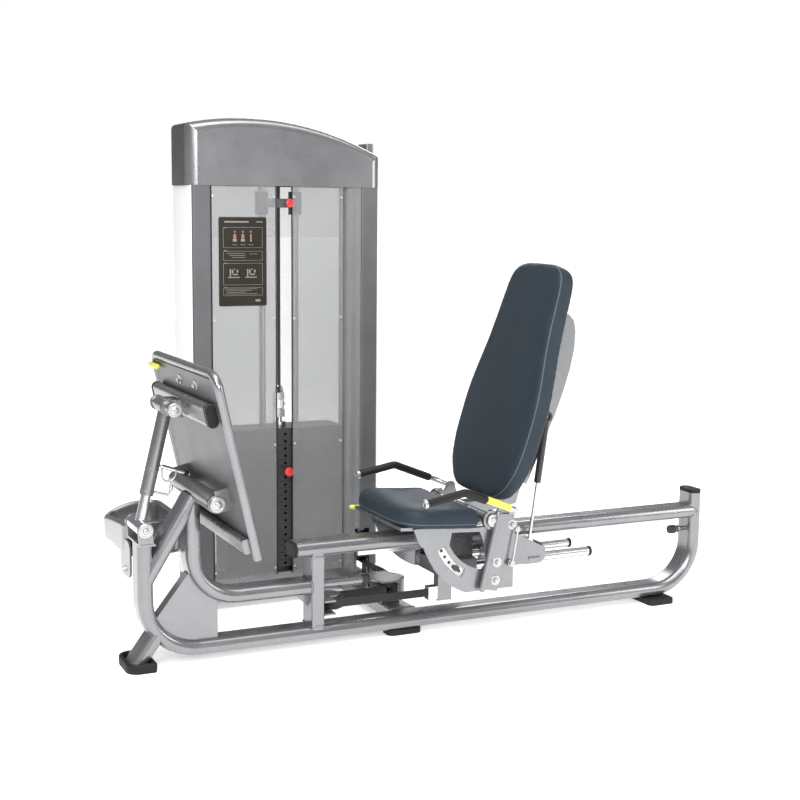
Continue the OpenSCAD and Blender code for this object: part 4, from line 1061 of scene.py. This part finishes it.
def rubber_shoe(outline, wall, height, floor_z, tooth=1.1):
    """Open-topped shoe: toothed sole, upright wall, rounded rim, and a hollow inside."""
    bm = bmesh.new()
    layers = [(2.2, 0.0, 0.0), (1.2, 0.0, tooth), (1.2, 5.0, tooth), (0.3, 6.5, 0.0), (0.0, 9.0, 0.0), (0.0,
            height - 6, 0.0)]
    layers += [(wall / 2 * (1 - cos(radians(a))), height - 6 + 6 * sin(radians(a)), 0.0)
               for a in (25, 50, 75, 90, 105, 130, 155, 180)]
    layers += [(wall, floor_z + 3, 0.0), (wall + 2.5, floor_z, 0.0)]
    rows = []
    for inset, z, jag in layers:
        points = inset_outline(outline, inset)
        if jag:
            points = [q if k % 2 else q2 for k, (q,
                    q2) in enumerate(zip(points, inset_outline(outline, inset + jag)))]
        rows.append([bm.verts.new((q[0], q[1], z)) for q in points])
    return skin(bm, rows)


shoe_line = []
for sx, sy, start, r in ((1, 1, 0, 8), (-1, 1, 90, 36), (-1, -1, 180, 36), (1, -1, 270, 8)):
    for k in range(13):
        a = radians(start + 90 * k / 12)
        shoe_line.append(V(-21 + sx * (41 - r) + r * cos(a), sy * (72 - r) + r * sin(a), 0))
shoe_line = [(p.x, p.y) for p in resample(shoe_line, 3.2, closed=True)]
feet = [(rubber_shoe(shoe_line, 11.5, 27.5, 4.0), WORLD_MM)]
for x, half_y, length in ((790, MID_FOOT_W / 2, 110), (1690, 75, 96)):
    sole = domed(round_rect_points(length, 2 * half_y, 18, 8), 18.6, 5.0, lip=0.0)
    feet.append((sole, moved_by(x, 0, 0)))
for x in (310, 865):
    for y in (454, 602):
        feet.append((turned([(0, 0), (20, 0), (22, 2), (22, 14), (19, 18), (15, 23), (0, 23)], 36),
                     moved_by(x, y, 0)))
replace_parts(make("floor_shoes", gather(feet), "black_rubber", "frame", sharp=50), "rubber_feet")

# ---- Tray ----


RIM_Z, LOW_CORNER, RIM_SLOPE = 390.0, V(-28, 379, 350), (0.5333, -0.1342)


def tray_top(x, y):
    """Height of the tray's rim: level, then falling softly to its outer back corner."""
    plane = LOW_CORNER.z + RIM_SLOPE[0] * (x - LOW_CORNER.x) + RIM_SLOPE[1] * (y - LOW_CORNER.y)
    soft = 12.0
    low = -soft * math.log(math.exp(-(plane + 2.0) / soft) + math.exp(-(RIM_Z + 2.0) / soft))
    return min(low, plane, RIM_Z)


def tray_mesh(centre, width, depth, corner, wall, base_z):
    """Moulded tub with a rolled rim, a tapered foot and an open inside."""
    bm = bmesh.new()
    outline = [(p.x, p.y) for p in resample([V(x, y, 0) for x, y in round_rect_points(width, depth, corner, 10)],
                                            7.0, closed=True)]
    rows = []

    def row(inset, height):
        points = [(centre[0] + q[0], centre[1] + q[1]) for q in inset_outline(outline, inset)]
        rows.append([bm.verts.new((x, y, height(x, y))) for x, y in points])

    for inset, z in ((16, base_z), (9, base_z + 1.5), (4.5, base_z + 6), (2.6, base_z + 14)):
        row(inset, lambda x, y, z=z: z)
    row(1.0, lambda x, y: base_z + 20 + (tray_top(x, y) - base_z - 20) * 0.5)
    row(0.4, lambda x, y: tray_top(x, y) - 12)
    for k in range(0, 9):
        a = radians(180 * k / 8)
        row(wall / 2 * (1 - cos(a)), lambda x, y, a=a: tray_top(x, y) - 7 + 6.6 * sin(a))
    row(wall + 1, lambda x, y: tray_top(x, y) - 14)
    row(wall + 2, lambda x, y: base_z + 14)
    row(wall + 6, lambda x, y: base_z + 7)
    row(wall + 14, lambda x, y: base_z + 5)
    return skin(bm, rows)


bracket = prism(round_rect_points(104, 104, 26, 8), 0.0, 6.0, "z")
tray_parts = [
    (tray_mesh((61.0, 230.0), 177.0, 297.0, 40.0, 16.0, 288.0), WORLD_MM),
    (box((-8, 43, 300), (30, 84, 340)), WORLD_MM),
    (bracket, facing(V(-18, 98, 288), LEFT_WAY)),
]
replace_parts(make("tray_tub", gather(tray_parts), "silver_paint", "frame", sharp=50), "tray")
make("tray_bolt", hex_bolt(11), "zinc", "frame", facing(V(-24, 98, 256), LEFT_WAY))

# ---- Strut details ----

loop_line = [V(26, -5, 166)] + [V(48 + 20 * cos(a), -5, 158 + 24 * sin(a))
                                for a in (radians(190 + 170 * k / 16) for k in range(17))] + [V(68, -5, 168)]
make("strut_loop", rod(loop_line, 3.0), "zinc", "strut_lever", ON_STRUT)
low_arm = smooth_path([V(17, -8, 100), V(60, -8, 98), V(62, -8, 116)], 6)
make("strut_low_arm", gather([(rod(low_arm, 3.6), WORLD_MM),
                              (turned([(0, 0), (5.0, 0), (5.8, 1.5), (5.8, 13), (4.4, 15), (0, 15)], 24),
                               facing(V(62, -8, 112), V(0, 0, 1)))]), "zinc", "strut_tube", ON_STRUT)
band_z = (96, 160)
make("strut_bands", gather([(turned([(18.9, -4), (19.8, -3), (19.8, 3), (18.9, 4), (18.9, -4)]), moved_by(0, 0,
        z))
                            for z in band_z]), "silver_paint", "strut_tube", ON_STRUT)

# ---- Stage, light and camera ----

floor_mesh = bpy.data.meshes.new("floor")
FLOOR_HALF, FLOOR_Z = 60.0, -0.0006
floor_mesh.from_pydata([(sx * FLOOR_HALF, sy * FLOOR_HALF, FLOOR_Z) for sx, sy in ((-1, -1), (1, -1), (1, 1),
        (-1, 1))],
                       [], [(0, 1, 2, 3)])
floor = bpy.data.objects.new("floor", floor_mesh)
SCENE.collection.objects.link(floor)
floor_mat = finish_material("floor_white", (0.86, 0.86, 0.86), (0.88, 0.88, 0.88), (0.75, 0.85), blotch=2,
        speck=300,
                            speck_depth=0.00001, Emission_Color=(1, 1, 1, 1), Emission_Strength=0.45)
floor_mesh.materials.append(floor_mat)

world = bpy.data.worlds.new("studio")
SCENE.world = world
world.use_nodes = True
wt = world.node_tree
background = wt.nodes["Background"]
coords = wt.nodes.new("ShaderNodeTexCoord")
split = wt.nodes.new("ShaderNodeSeparateXYZ")
link(wt, coords.outputs["Generated"], split.inputs["Vector"])
ramp = wt.nodes.new("ShaderNodeValToRGB")
link(wt, split.outputs["Z"], ramp.inputs["Fac"])
ramp.color_ramp.elements[0].position, ramp.color_ramp.elements[0].color = 0.0, (0.17, 0.17, 0.178, 1)
ramp.color_ramp.elements[1].position, ramp.color_ramp.elements[1].color = 0.9, (0.42, 0.42, 0.43, 1)
path = wt.nodes.new("ShaderNodeLightPath")
mix = wt.nodes.new("ShaderNodeMix")
mix.data_type = "RGBA"
link(wt, path.outputs["Is Camera Ray"], mix.inputs["Factor"])
link(wt, ramp.outputs["Color"], mix.inputs["A"])
mix.inputs["B"].default_value = (1, 1, 1, 1)
link(wt, mix.outputs["Result"], background.inputs["Color"])


def area(name, at, target, size, power):
    data = bpy.data.lights.new(name, "AREA")
    data.shape, data.size, data.size_y, data.energy = "RECTANGLE", size[0], size[1], power
    obj = bpy.data.objects.new(name, data)
    obj.location = at
    obj.rotation_mode = "QUATERNION"
    obj.rotation_quaternion = (Vector(at) - Vector(target)).to_track_quat("Z", "Y")
    SCENE.collection.objects.link(obj)


sun = bpy.data.lights.new("sky", "SUN")
sun.energy, sun.angle = 1.9, radians(55)
sun_obj = bpy.data.objects.new("sky", sun)
sun_obj.rotation_euler = (radians(18), radians(-12), 0)
SCENE.collection.objects.link(sun_obj)
area("key", (-3.2, -3.6, 3.6), (0.0, 0.0, 0.7), (1.2, 2.6), 120)
area("front", (-1.2, -4.8, 2.3), (0.0, 0.0, 0.5), (2.2, 0.9), 100)
area("fill", (3.6, -3.0, 2.0), (0.0, 0.0, 0.6), (1.2, 2.4), 55)
area("top", (0.3, -0.6, 4.2), (0.1, 0.0, 0.4), (4.0, 1.2), 42)
area("rim", (2.0, 3.8, 2.8), (0.0, 0.2, 0.8), (2.4, 1.4), 60)

AZ, EL, ROLL = radians(-25.05), radians(7.75), radians(0.49)
back_v = V(sin(AZ) * cos(EL), -cos(AZ) * cos(EL), sin(EL))
right_v = V(cos(AZ), sin(AZ), 0)
up_v = back_v.cross(right_v)
turned_right = right_v * cos(ROLL) + up_v * sin(ROLL)
turned_up = -right_v * sin(ROLL) + up_v * cos(ROLL)
camera = bpy.data.cameras.new("camera")
SENSOR_MM, LENS_MM, CAMERA_AT = 36.0, 62.145, V(-1.82859, -3.80937, 1.25549)
camera.sensor_width, camera.lens = SENSOR_MM, LENS_MM
camera_obj = bpy.data.objects.new("camera", camera)
camera_obj.matrix_world = Matrix.Translation(CAMERA_AT) @ Matrix((turned_right, turned_up,
        back_v)).transposed().to_4x4()
SCENE.collection.objects.link(camera_obj)
SCENE.camera = camera_obj
SCENE.view_settings.view_transform = "Standard"
